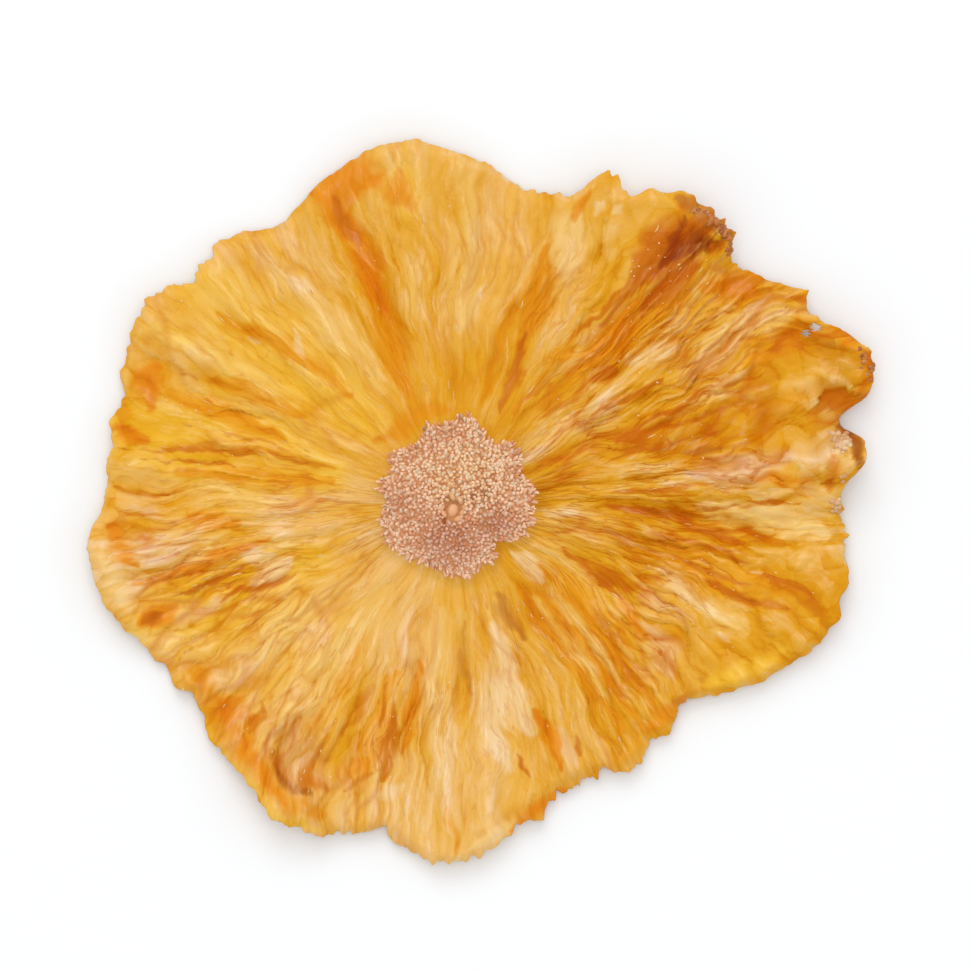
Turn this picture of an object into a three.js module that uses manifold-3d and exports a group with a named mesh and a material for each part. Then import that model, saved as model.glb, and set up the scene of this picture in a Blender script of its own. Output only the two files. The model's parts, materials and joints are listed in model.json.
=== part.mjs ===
// A whole slice of pineapple, cut across the fruit and dried with its core left in.
//
// The slice is one solid. A pebbled core of fibre ends stands in the middle, and fibrous flesh
// runs out from it to a lobed, ruffled rim. Each lobe is an eye of the fruit, and each notch a
// seam between two eyes. The flesh is pleated along its fibres, creased where it shrank, and
// curls up towards the rim. The slice lies on the flat underside of its middle.
//
// Units are millimetres, +Z is up. Angles are degrees, counted from +X round the core's axis.

import * as THREE from "three";
import { mergeVertices } from "three/addons/utils/BufferGeometryUtils.js";
import Module from "manifold-3d";

// Driving dimensions.
const RIM_RADIUS = 38; // mean reach of the flesh from the core's axis
const CORE_RADIUS = 8.2; // mean reach of the pebbled core
const FOOT_RADIUS = 13; // the flat underside that the slice lies on
const CORE_THICKNESS = 2.9;
const SHOULDER_THICKNESS = 2.1; // flesh beside the core
const RIM_THICKNESS = 1.2; // flesh just inside the rim

// How far each eye stands out from RIM_RADIUS, and each seam pulls in: [angle, reach].
const RIM_TURNS = [
  [1.5, 3.7], [6, 6.3], [11.8, 4.6], [14.2, 7.7], [18, 9.5], [26, 6.3], [28, 5.1],
  [30.5, 5.7], [40, 1.5], [44.5, 3.2], [53, 3.1], [61.5, 0.2], [64, 0.9], [66.2, 0.2],
  [69, -2.9], [80, -3.0], [85, -1.3], [91, -0.2], [98, 1.4], [110, -0.1], [123, -2.5],
  [131, -0.4], [140, -0.3], [148, 1.5], [155, 1.0], [164, -0.3], [168, 0.4], [172, -0.2],
  [181, 0.3], [188, 2.1], [199, 1.1], [210, -1.8], [214, -1.3], [216.5, -2.6], [227, -0.4],
  [232, -0.6], [240, 1.5], [253, 0.2], [257, -1.1], [269, 1.6], [282, -2.5], [284.5, -2.2],
  [287, -3.9], [293, -4.8], [305, -3.3], [309, -4.6], [312.5, -3.7], [318, -4.9],
  [330, 0.8], [343, 5.2],
];

// How high the underside of the rim curls above the table: [angle, height].
const RIM_LIFTS = [
  [0, 2.0], [6, 5.0], [12, 2.0], [20, 4.2], [31, 2.2], [38, 1.8], [48, 5.4], [56, 3.4],
  [64, 4.4], [72, 1.5], [85, 0.8], [98, 2.6], [112, 1.2], [125, 0.6], [140, 1.6],
  [150, 2.2], [162, 1.0], [172, 1.8], [180, 1.2], [188, 3.6], [200, 1.8], [212, 0.8],
  [225, 1.6], [240, 3.4], [252, 1.4], [262, 0.7], [270, 2.0], [283, 1.2], [293, 0.6],
  [305, 1.2], [318, 0.6], [330, 1.0], [343, 2.4], [352, 1.6],
];

// How far each lobe of the core reaches past CORE_RADIUS: [angle, reach].
const CORE_TURNS = [
  [8, 0.6], [22, -0.6], [41, 0.5], [60, -0.8], [72, 0.2], [84, 1.1], [97, 0.1], [110, 0.6],
  [128, -0.7], [144, 0.7], [158, -0.3], [169, 0.4], [182, -0.4], [194, 0.3], [215, 0.7],
  [236, -0.2], [258, -0.2], [277, 0.5], [292, -0.3], [304, -0.6], [313, -1.9], [325, -0.3],
  [342, 0.4], [355, 0.1],
];

// Which way the fibres have bent once they reach the rim: [angle, bend in degrees].
const FIBRE_BENDS = [
  [0, 0], [22, 2], [40, 5], [62, 2], [90, 0], [120, -1], [148, -6], [175, 0], [202, 0],
  [232, 7], [255, 6], [272, -1], [292, -3], [320, -8], [342, 0],
];

// Creases in the upper face, along the fibres. Each runs from one distance to another from the
// core's axis. Its width is where it has sunk to a third of its depth.
const CREASES = [
  { at: 112, from: 14, to: 34, width: 2.6, depth: 0.6 },
  { at: 104, from: 22, to: 30, width: 1.4, depth: 0.3 },
  { at: 70, from: 11, to: 24, width: 1.6, depth: 0.4 },
  { at: 47, from: 14, to: 39, width: 2.2, depth: 0.7 },
  { at: 38, from: 12, to: 26, width: 1.4, depth: 0.5 },
  { at: 22, from: 11, to: 38, width: 1.3, depth: 0.5 },
  { at: 13, from: 12, to: 34, width: 1.2, depth: 0.4 },
  { at: 357, from: 14, to: 36, width: 1.5, depth: 0.5 },
  { at: 347, from: 16, to: 37, width: 1.8, depth: 0.5 },
  { at: 335, from: 12, to: 27, width: 1.5, depth: 0.5 },
  { at: 322, from: 12, to: 30, width: 1.6, depth: 0.5 },
  { at: 309, from: 12, to: 32, width: 1.4, depth: 0.4 },
  { at: 289, from: 24, to: 31, width: 1.8, depth: 0.5 },
  { at: 273, from: 13, to: 24, width: 1.3, depth: 0.4 },
  { at: 257, from: 17, to: 30, width: 1.9, depth: 0.6 },
  { at: 240, from: 18, to: 33, width: 1.6, depth: 0.5 },
  { at: 224, from: 14, to: 33, width: 1.6, depth: 0.4 },
  { at: 201, from: 11, to: 36, width: 1.5, depth: 0.6 },
  { at: 184, from: 20, to: 36, width: 2.0, depth: 0.4 },
  { at: 172, from: 12, to: 36, width: 1.4, depth: 0.5 },
  { at: 160, from: 18, to: 35, width: 1.6, depth: 0.5 },
  { at: 146, from: 13, to: 33, width: 1.6, depth: 0.5 },
  { at: 130, from: 15, to: 30, width: 1.4, depth: 0.4 },
];

// Pleats lift the whole sheet between the middle and the rim, and ruffles lift it at the rim.
const PLEATS = 26;
const PLEAT_HEIGHT = 0.55;
const RUFFLES = 17;
const RUFFLE_HEIGHT = 0.5;
const BUNDLES = 34; // ridges of fibre in the upper face
const BUNDLE_HEIGHT = 0.2;

// The pocket behind the rolled lip of the lower left lobe.
const POCKET = { at: 239, radius: 33.5, width: 3.6, depth: 0.5 };
const LIP = { at: 240, radius: 37.2, width: 2.2, height: 0.7 };

// The dimple in the middle of the core, with the pith's end standing in it.
const DIMPLE = { at: 252, radius: 1.3, width: 1.5, depth: 0.55 };
const PITH = { at: 252, radius: 1.3, width: 0.75, height: 0.6 };
const GRAIN_HEIGHT = 0.28; // fibre ends of the core

// A small hole between two lobes, where the flesh has torn. The peg that cuts it reaches from
// below the slice to above it.
const TEAR = { at: 25.7, radius: 42.4, length: 1.5, width: 0.9, turn: 20 };
const TEAR_PEG = { bottom: -5, height: 25, segments: 5 };

// Mesh spacing.
const CORE_SPACING = 0.52;
const FLESH_SPACING = 1.24;
const UNDER_SPACING = 2.3;
const EDGE_SHARE = 0.985; // where the flesh starts to round off into the rim
const RIM_ROUGHNESS = 0.35; // how far a point of the rim may stray from its curve

const DRIED_FLESH = new THREE.Color(0xe4a542);

const radians = THREE.MathUtils.degToRad;
const { lerp, smoothstep } = THREE.MathUtils;

/** The smallest turn from one angle to another, in degrees, from -180 to 180. */
function turnBetween(from, to) {
  return THREE.MathUtils.euclideanModulo(to - from + 180, 360) - 180;
}

/** The value at an angle of a smooth closed curve through turning points [angle, value]. */
function around(turns, angle) {
  const count = turns.length;
  const turn = (i) => {
    const [at, value] = turns[THREE.MathUtils.euclideanModulo(i, count)];
    return [at + 360 * Math.floor(i / count), value];
  };
  let degrees = THREE.MathUtils.euclideanModulo(angle, 360);
  if (degrees < turns[0][0]) degrees += 360;
  const past = turns.findIndex(([at]) => at > degrees);
  const first = (past < 0 ? count : past) - 1;
  const [[a0, v0], [a1, v1], [a2, v2], [a3, v3]] = [-1, 0, 1, 2].map((k) => turn(first + k));
  const span = a2 - a1;
  const t = (degrees - a1) / span;
  const slope1 = ((v2 - v0) / (a2 - a0)) * span;
  const slope2 = ((v3 - v1) / (a3 - a1)) * span;
  const [t2, t3] = [t * t, t * t * t];
  return (
    (2 * t3 - 3 * t2 + 1) * v1 + (t3 - 2 * t2 + t) * slope1 +
    (3 * t2 - 2 * t3) * v2 + (t3 - t2) * slope2
  );
}

/** A repeatable number from 0 to 1 for a whole number. */
function scatter(i) {
  const x = Math.sin(i * 127.1 + 11.7) * 43758.5453;
  return x - Math.floor(x);
}

/** A rounded bump of height 1 in the middle, which has sunk to a third at the given width. */
function bump(distance, width) {
  return Math.exp(-((distance / width) ** 2));
}

/** How far a point lies from a feature that is placed by its angle and radius. */
function distanceTo(feature, angle, radius) {
  const along = radius * Math.cos(radians(angle - feature.at)) - feature.radius;
  const across = radius * Math.sin(radians(angle - feature.at));
  return Math.hypot(along, across);
}

const rimRadius = (angle) => RIM_RADIUS + around(RIM_TURNS, angle);
const coreRadius = (angle) => CORE_RADIUS + around(CORE_TURNS, angle);

/** 0 over the flat foot and 1 at the rim. */
function outward(angle, radius) {
  const share = (radius - FOOT_RADIUS) / (rimRadius(angle) - FOOT_RADIUS);
  return THREE.MathUtils.clamp(share, 0, 1);
}

/** The angle at which the fibre through a point leaves the core. */
function fibreAngle(angle, radius) {
  return angle - around(FIBRE_BENDS, angle) * outward(angle, radius) ** 2;
}

/** Height of the lower face: flat under the middle, then lifted by pleats, ruffles and curl. */
function undersideHeight(angle, radius) {
  const out = outward(angle, radius);
  const fibre = fibreAngle(angle, radius);
  const pleat = 0.5 + 0.5 * Math.sin(radians(PLEATS * fibre) + 1.4 * Math.sin(radians(3 * fibre)));
  const ruffle = 0.5 + 0.5 * Math.sin(radians(RUFFLES * angle) + 1.3 * Math.sin(radians(5 * angle)));
  const curl = around(RIM_LIFTS, angle) * out ** 1.8;
  const lip = LIP.height * bump(distanceTo(LIP, angle, radius), LIP.width * 2);
  const middle = smoothstep(out, 0, 0.35) * (1 - 0.6 * out);
  return (
    curl + PLEAT_HEIGHT * pleat * middle + RUFFLE_HEIGHT * ruffle * out ** 3 +
    lip * smoothstep(out, 0, 1)
  );
}

/** How deep the creases have sunk into the upper face. */
function creaseDepth(angle, radius) {
  const fibre = fibreAngle(angle, radius);
  const depths = CREASES.map((crease) => {
    const across = radius * radians(turnBetween(crease.at, fibre));
    const run = smoothstep(radius, crease.from - 1, crease.from + 4);
    const end = 1 - smoothstep(radius, crease.to - 4, crease.to + 2);
    return crease.depth * bump(across, crease.width) * run * end;
  });
  return Math.max(...depths);
}

/** Thickness of the flesh: thickest beside the core, ridged, creased and pocketed. */
function fleshThickness(angle, radius) {
  const share = (radius - coreRadius(angle)) / (rimRadius(angle) - coreRadius(angle));
  const plain = lerp(SHOULDER_THICKNESS, RIM_THICKNESS, THREE.MathUtils.clamp(share, 0, 1) ** 0.7);
  const fibre = fibreAngle(angle, radius);
  const ridge = Math.sin(radians(BUNDLES * fibre) + 2 * Math.sin(radians(4 * fibre)));
  const ridged = BUNDLE_HEIGHT * ridge * smoothstep(radius, CORE_RADIUS, FOOT_RADIUS + 5);
  const pocket = POCKET.depth * bump(distanceTo(POCKET, angle, radius), POCKET.width);
  const room = plain - RIM_THICKNESS * 0.5;
  return plain + ridged - Math.min(creaseDepth(angle, radius) + pocket, room);
}

/** Thickness of the core: a pebbled face, with a dimple and the pith's end in its middle. */
function coreThickness(angle, radius, grain) {
  const dimple = DIMPLE.depth * bump(distanceTo(DIMPLE, angle, radius), DIMPLE.width);
  const pith = PITH.height * bump(distanceTo(PITH, angle, radius), PITH.width);
  return CORE_THICKNESS - dimple + pith + GRAIN_HEIGHT * grain;
}

/** Height of the upper face. The core stands proud of the flesh, and its edge is abrupt. */
function upperHeight(angle, radius, grain) {
  const edge = coreRadius(angle);
  const flesh = fleshThickness(angle, Math.max(radius, edge));
  const core = coreThickness(angle, radius, grain);
  const thickness = lerp(core, flesh, smoothstep(radius, edge - 0.5, edge + 0.9));
  return undersideHeight(angle, radius) + thickness;
}

/** Builds a closed surface out of rings of points, each ring joined to the next. */
class RingedSurface {
  positions = [];
  triangles = [];

  /** Adds a ring of points and returns it as [{ angle, index }, ...], in order of angle. */
  ring(count, stagger, pointAt) {
    return Array.from({ length: count }, (_, i) => {
      const angle = ((i + stagger) * 360) / count;
      return { angle, index: this.point(pointAt(angle, i)) };
    });
  }

  point({ x, y, z }) {
    this.positions.push(x, y, z);
    return this.positions.length / 3 - 1;
  }

  /** Joins two rings that lie side by side, going round both of them by angle. */
  join(inner, outer) {
    const at = (ring, i) => ring[i % ring.length].index;
    const angleAt = (ring, i) => ring[i % ring.length].angle + 360 * Math.floor(i / ring.length);
    let [i, o] = [0, 0];
    while (i < inner.length || o < outer.length) {
      const outerNext = angleAt(outer, o + 1) < angleAt(inner, i + 1);
      if (i === inner.length || (o < outer.length && outerNext)) {
        this.triangles.push(at(inner, i), at(outer, o), at(outer, o + 1));
        o += 1;
      } else {
        this.triangles.push(at(inner, i), at(outer, o), at(inner, i + 1));
        i += 1;
      }
    }
  }

  /** Closes the innermost ring with a fan round one point. */
  cap(ring, centre) {
    ring.forEach(({ index }, i) => {
      this.triangles.push(centre, index, ring[(i + 1) % ring.length].index);
    });
  }

  /** Turns round every triangle added since the given count, for a face that looks down. */
  flipFrom(start) {
    for (let i = start; i < this.triangles.length; i += 3) {
      const second = this.triangles[i + 1];
      this.triangles[i + 1] = this.triangles[i + 2];
      this.triangles[i + 2] = second;
    }
  }

  geometry() {
    const made = new THREE.BufferGeometry();
    made.setAttribute("position", new THREE.Float32BufferAttribute(this.positions, 3));
    made.setIndex(this.triangles);
    return made;
  }
}

/** A point in space from its angle, radius and height. */
function polar(angle, radius, z) {
  return { x: radius * Math.cos(radians(angle)), y: radius * Math.sin(radians(angle)), z };
}

/** How many points a ring of the given radius takes at a spacing, at least six. */
function ringCount(radius, spacing) {
  return Math.max(6, Math.round((2 * Math.PI * radius) / spacing));
}

/** The reach of ring number i of count, evenly spaced from one share of the slice to another. */
function evenly(from, to, count) {
  return Array.from({ length: count }, (_, i) => lerp(from, to, (i + 1) / count));
}

/** The rings of the upper face, from the middle of the core out to where the rim rounds off. */
function upperRings(surface) {
  const coreRings = Math.round(CORE_RADIUS / CORE_SPACING);
  const core = evenly(0, 1, coreRings).map((share, k) =>
    surface.ring(ringCount(share * CORE_RADIUS, CORE_SPACING), 0, (angle, i) => {
      const radius = share * coreRadius(angle);
      const grain = (i + k) % 2 ? 1 : scatter(i * 31 + k) * 0.4;
      return polar(angle, radius, upperHeight(angle, radius, grain));
    }),
  );
  const fleshRings = Math.round((RIM_RADIUS - CORE_RADIUS) / FLESH_SPACING);
  const flesh = evenly(0, 1, fleshRings).map((share, k) => {
    const mean = lerp(CORE_RADIUS, RIM_RADIUS, share);
    return surface.ring(ringCount(mean, FLESH_SPACING), k % 2 ? 0.5 : 0, (angle) => {
      const radius = lerp(coreRadius(angle), rimRadius(angle) * EDGE_SHARE, share);
      return polar(angle, radius, upperHeight(angle, radius, 0));
    });
  });
  return [...core, ...flesh];
}

/** The rings of the lower face, from the middle out to where the rim rounds off. */
function lowerRings(surface) {
  const count = Math.round(RIM_RADIUS / UNDER_SPACING);
  return evenly(0, 1, count).map((share, k) =>
    surface.ring(ringCount(share * RIM_RADIUS, UNDER_SPACING), k % 2 ? 0.5 : 0, (angle) => {
      const radius = share * rimRadius(angle) * EDGE_SHARE;
      return polar(angle, radius, undersideHeight(angle, radius));
    }),
  );
}

/** The ragged rim itself, halfway between the two faces. */
function rimRing(surface) {
  return surface.ring(ringCount(RIM_RADIUS, FLESH_SPACING), 0.25, (angle, i) => {
    const radius = rimRadius(angle) + RIM_ROUGHNESS * (scatter(i) - 0.6);
    return polar(angle, radius, undersideHeight(angle, radius) + RIM_THICKNESS * 0.45);
  });
}

/** The whole slice as one closed geometry. */
function sliceGeometry() {
  const surface = new RingedSurface();
  const joinAll = (rings) => rings.slice(1).forEach((ring, k) => surface.join(rings[k], ring));
  const upper = upperRings(surface);
  const rim = rimRing(surface);
  surface.cap(upper[0], surface.point({ x: 0, y: 0, z: upperHeight(0, 0, 0) }));
  joinAll([...upper, rim]);
  const upperEnd = surface.triangles.length;
  const lower = lowerRings(surface);
  surface.cap(lower[0], surface.point({ x: 0, y: 0, z: 0 }));
  joinAll([...lower, rim]);
  surface.flipFrom(upperEnd);
  return surface.geometry();
}

/** An upright peg where the flesh has torn right through. */
function tearGeometry() {
  const outline = new THREE.Shape();
  outline.absellipse(0, 0, TEAR.length / 2, TEAR.width / 2, 0, Math.PI * 2);
  const peg = new THREE.ExtrudeGeometry(outline, {
    depth: TEAR_PEG.height,
    bevelEnabled: false,
    curveSegments: TEAR_PEG.segments,
  });
  const { x, y } = polar(TEAR.at, TEAR.radius, 0);
  return peg.rotateZ(radians(TEAR.at + TEAR.turn)).translate(x, y, TEAR_PEG.bottom);
}

const wasm = await Module();
wasm.setup();

/** A closed geometry as a manifold-3d solid. */
function solidFrom(geometry) {
  const bare = geometry.clone();
  bare.deleteAttribute("normal");
  bare.deleteAttribute("uv");
  const merged = mergeVertices(bare, 1e-4);
  return new wasm.Manifold(
    new wasm.Mesh({
      numProp: 3,
      vertProperties: new Float32Array(merged.attributes.position.array),
      triVerts: new Uint32Array(merged.index.array),
    }),
  );
}

/** A manifold-3d solid as a geometry to draw. */
function geometryFrom(solid) {
  const { vertProperties, triVerts } = solid.getMesh();
  const made = new THREE.BufferGeometry();
  made.setAttribute("position", new THREE.BufferAttribute(vertProperties, 3));
  made.setIndex(new THREE.BufferAttribute(triVerts, 1));
  made.computeVertexNormals();
  return made;
}

const torn = solidFrom(sliceGeometry()).subtract(solidFrom(tearGeometry()));
const slice = new THREE.Mesh(
  geometryFrom(torn),
  new THREE.MeshStandardMaterial({ color: DRIED_FLESH, roughness: 0.55, metalness: 0 }),
);
slice.name = "dried_pineapple_slice";

// The slice's own frame has its origin under the middle of its bounding box, on the table.
slice.geometry.computeBoundingBox();
const middle = slice.geometry.boundingBox.getCenter(new THREE.Vector3());
slice.position.set(-middle.x, -middle.y, 0);

const pineappleSlice = new THREE.Group();
pineappleSlice.add(slice);

export default pineappleSlice;
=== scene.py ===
"""A whole slice of pineapple, dried with its core left in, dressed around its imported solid.

Shapes are worked out in millimetres about the core's axis, with angles in degrees counted from
+X, and are put into Blender in metres. The flesh is one closed sheet whose columns follow the
fibres. The core's beads, bristles and pith, and the loose fibres, are pieces of their own.
"""

import json
import logging
import math
from dataclasses import dataclass, field
from enum import Enum
from typing import Iterable, Sequence

import bpy
import numpy as np
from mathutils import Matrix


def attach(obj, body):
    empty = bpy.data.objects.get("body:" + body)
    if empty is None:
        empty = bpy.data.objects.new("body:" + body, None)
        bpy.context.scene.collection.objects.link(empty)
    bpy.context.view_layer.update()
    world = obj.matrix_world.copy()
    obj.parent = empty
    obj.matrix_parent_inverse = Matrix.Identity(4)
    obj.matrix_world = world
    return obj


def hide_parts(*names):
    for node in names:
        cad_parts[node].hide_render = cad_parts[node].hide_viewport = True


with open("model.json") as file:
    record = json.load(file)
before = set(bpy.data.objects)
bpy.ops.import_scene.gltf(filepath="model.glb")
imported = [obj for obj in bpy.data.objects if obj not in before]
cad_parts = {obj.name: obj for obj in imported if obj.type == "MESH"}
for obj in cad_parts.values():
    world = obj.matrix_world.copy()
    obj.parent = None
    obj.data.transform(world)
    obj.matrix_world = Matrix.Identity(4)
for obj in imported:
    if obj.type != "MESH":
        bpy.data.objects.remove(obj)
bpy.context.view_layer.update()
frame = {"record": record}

Array = np.ndarray
Colour = tuple[float, float, float]
Display = tuple[int, int, int]
Range = tuple[float, float]
Pairs = tuple[tuple[float, float], ...]
Draws = np.random.Generator

LOG = logging.getLogger("dried_pineapple")
MM = 0.001
FULL_TURN = 360.0
RIM_RADIUS = 38.0
NODE = "dried_pineapple_slice"
BODY = "root"


# ---------------- plain helpers


def smooth(values: Array, low: float, high: float) -> Array:
    """A soft step from 0 at low to 1 at high: 3t² - 2t³ of the share t of the way between."""
    share = np.clip((values - low) / (high - low), 0.0, 1.0)
    return share * share * (3.0 - 2.0 * share)


def bump(distance: Array, width: float) -> Array:
    """A rounded bump of height 1, e^-(distance/width)², sunk to a third at the width."""
    return np.exp(-((distance / width) ** 2))


def turn_between(start: Array | float, end: Array | float) -> Array:
    """The smallest turn from one angle to another, from -180 to 180 degrees."""
    return np.mod(np.asarray(end) - start + 180.0, FULL_TURN) - 180.0


def around_axis(degrees: Array, radius: Array) -> tuple[Array, Array]:
    """Plane coordinates of points given by angle and radius about the core's axis."""
    turn = np.radians(degrees)
    return radius * np.cos(turn), radius * np.sin(turn)


def polar(x: Array, y: Array) -> tuple[Array, Array]:
    """Angle and radius of points given by plane coordinates about the core's axis."""
    return np.degrees(np.arctan2(y, x)), np.hypot(x, y)


def linear(channel: int) -> float:
    """A display channel of 0 to 255 as linear light, by the sRGB curve."""
    share = channel / 255.0
    return share / 12.92 if share <= 0.04045 else ((share + 0.055) / 1.055) ** 2.4


@dataclass(frozen=True)
class ClosedCurve:
    """A value that changes smoothly with the angle round the core, through turning points."""

    turns: Pairs

    def at(self, degrees: Array) -> Array:
        """The value at each angle.

        Args:
            degrees: Angles, of any size.

        Returns:
            A cubic between neighbouring turning points. Its slope at a turning point is that of
            the straight line between the two points beside it.
        """
        angles, values = np.array(self.turns, float).T
        angles = np.concatenate([angles[-2:] - FULL_TURN, angles, angles[:2] + FULL_TURN])
        values = np.concatenate([values[-2:], values, values[:2]])
        start = self.turns[0][0]
        turned = np.mod(np.asarray(degrees, float) - start, FULL_TURN) + start
        first = np.searchsorted(angles, turned, side="right") - 1
        a0, a1, a2, a3 = (angles[first + k] for k in (-1, 0, 1, 2))
        v0, v1, v2, v3 = (values[first + k] for k in (-1, 0, 1, 2))
        span = a2 - a1
        t = (turned - a1) / span
        slope1, slope2 = (v2 - v0) / (a2 - a0) * span, (v3 - v1) / (a3 - a1) * span
        t2, t3 = t * t, t * t * t
        rise = (2 * t3 - 3 * t2 + 1) * v1 + (t3 - 2 * t2 + t) * slope1
        return rise + (3 * t2 - 2 * t3) * v2 + (t3 - t2) * slope2


class SoftNoise:
    """Smooth seeded noise from -1 to 1 in three dimensions, which repeats every 32 cells."""

    CELLS = 32

    def __init__(self, seed: int) -> None:
        """Draws the values of the lattice. The seed picks one noise among many."""
        self.lattice = np.random.default_rng(seed).uniform(-1, 1, (self.CELLS,) * 3)

    def at(self, x: Array, y: Array, z: Array) -> Array:
        """The noise at points.

        Args:
            x: Where, counted in cells.
            y: The same, across.
            z: The same, upwards.

        Returns:
            At each point, its cell's eight corner values mixed by a fifth-order step.
        """
        points = np.stack(np.broadcast_arrays(x, y, z), -1).astype(float)
        cell = np.floor(points).astype(int)
        t = points - cell
        t = t * t * t * (t * (t * 6 - 15) + 10)
        total = np.zeros(points.shape[:-1])
        for corner in np.ndindex(2, 2, 2):
            step = np.array(corner)
            weight = np.prod(np.where(step == 1, t, 1 - t), -1)
            i, j, k = np.moveaxis((cell + step) % self.CELLS, -1, 0)
            total += weight * self.lattice[i, j, k]
        return total

    def layered(self, x: Array, y: Array, z: Array, layers: int = 3) -> Array:
        """Layers of the noise, each twice as fine and half as strong as the one before."""
        parts = [self.at(x * 2**k + 5 * k, y * 2**k, z * 2**k) / 2**k for k in range(layers)]
        return np.sum(parts, 0)


class SoftCells:
    """A field of seeded cells, each with a value of its own, which repeats every 32 cells."""

    CELLS = 32

    def __init__(self, seed: int, sharpness: float = 11.0) -> None:
        """Draws each cell's middle and value.

        Args:
            seed: Picks one field among many.
            sharpness: How abruptly one cell gives way to the next.
        """
        rng = np.random.default_rng(seed)
        self.middles = rng.uniform(0, 1, (self.CELLS,) * 3 + (3,))
        self.values = rng.uniform(0, 1, (self.CELLS,) * 3)
        self.slants = rng.uniform(-1, 1, (self.CELLS,) * 3)
        self.sharpness = sharpness

    def at(self, x: Array, y: Array, z: Array) -> tuple[Array, Array, Array]:
        """The field at points.

        Formula: the values of the 27 cells round the point, weighted by e^(-sharpness times the
        squared distance to each one's middle).

        Args:
            x: Where, counted in cells.
            y: The same, across.
            z: The same, upwards.

        Returns:
            The value, the distance to the nearest border as the difference of the distances to the
            two nearest middles, and the rise of the nearest cell's slanting top: its slant times
            how far round the axis the point is from its middle.
        """
        points = np.stack(np.broadcast_arrays(x, y, z), -1).astype(float)
        cell = np.floor(points).astype(int)
        total, weights = np.zeros(points.shape[:-1]), np.zeros(points.shape[:-1])
        first, second = np.full(total.shape, 9.0), np.full(total.shape, 9.0)
        lean, girth = np.zeros(total.shape), np.maximum(np.hypot(points[..., 0], points[..., 1]), 1.0)
        for step in np.ndindex(3, 3, 3):
            at = cell + np.array(step) - 1
            i, j, k = np.moveaxis(at % self.CELLS, -1, 0)
            middle = at + self.middles[i, j, k]
            away = np.sqrt(((middle - points) ** 2).sum(-1))
            across = (middle[..., 0] * points[..., 1] - middle[..., 1] * points[..., 0]) / girth
            lean = np.where(away < first, across * self.slants[i, j, k], lean)
            weight = np.exp(-self.sharpness * away**2)
            total += weight * self.values[i, j, k]
            weights += weight
            second = np.minimum(second, np.maximum(first, away))
            first = np.minimum(first, away)
        return total / np.maximum(weights, 1e-9), second - first, lean


# ---------------- colours


# How far each channel of a tone's palest and deepest shades lies from its own colour.
SHADE_STEPS: Display = (10, 18, 30)


class Tone(Enum):
    """A colour that the flesh takes in places. Some strokes of BROWN and DARK are painted shade instead.

    Each has its display colour, how far the flesh stands up where it is full, in millimetres,
    how much paler it makes what lies under it, and how much of that it covers.
    """

    STRAW = ((242, 198, 106), 0.04, 0.10, 0.55)
    YELLOW = ((246, 194, 46), 0.0, 0.02, 0.6)
    CREAM = ((243, 207, 148), 0.05, 0.12, 0.7)
    PINK = ((230, 180, 124), 0.02, 0.04, 0.65)
    AMBER = ((230, 147, 4), -0.08, -0.12, 0.8)
    ORANGE = ((232, 134, 0), -0.06, -0.10, 0.78)
    RUST = ((206, 110, 4), -0.10, -0.14, 0.9)
    BROWN = ((192, 120, 50), -0.08, -0.12, 0.75)
    DARK = ((152, 62, 2), -0.12, -0.2, 0.85)

    def __init__(self, display: Display, relief: float, paler: float, cover: float) -> None:
        """Keeps the parts of the tone."""
        self.display, self.relief, self.paler, self.cover = display, relief, paler, cover

    @property
    def attribute(self) -> str:
        """The name of the mesh attribute that says how full the tone is."""
        return f"tone_{self.name.lower()}"

    def shifted(self, share: float) -> Display:
        """The tone's display colour, paler by a share, or deeper where the share is negative."""
        made = [round(part + share * step) for part, step in zip(self.display, SHADE_STEPS)]
        return tuple(min(255, max(0, part)) for part in made)


@dataclass(frozen=True)
class Stroke:
    """A stretch of one tone along a path of (angle, radius) points."""

    TIP = 0.4
    BELLY = 0.7

    tone: Tone
    width: float
    strength: float
    path: Pairs

    def fullness(self, x: Array, y: Array) -> Array:
        """How full the tone is at each point.

        Args:
            x: Plane coordinates about the core's axis, in millimetres.
            y: The same, across.

        Returns:
            The strength times a bump of the distance to the nearest part of the path. The bump is
            about as wide as the stroke half way along it and narrows by a sine to both tips.
        """
        px, py = around_axis(*np.array(self.path, float).T)
        nearest, parts = np.full(x.shape, np.inf), len(px) - 1
        for i in range(parts):
            dx, dy = px[i + 1] - px[i], py[i + 1] - py[i]
            share = ((x - px[i]) * dx + (y - py[i]) * dy) / (dx * dx + dy * dy)
            share = np.clip(share, 0, 1)
            away = np.hypot(x - px[i] - share * dx, y - py[i] - share * dy)
            full = self.TIP + self.BELLY * np.sin(math.pi * (i + share) / parts)
            nearest = np.minimum(nearest, away / full)
        return self.strength * bump(nearest, self.width)


def strokes(tone: Tone, *rows: tuple) -> tuple[Stroke, ...]:
    """Strokes of one tone, each from its width, its strength, then angle and radius in turn."""
    return tuple(Stroke(tone, *row[:2], tuple(zip(row[2::2], row[3::2]))) for row in rows)


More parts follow.
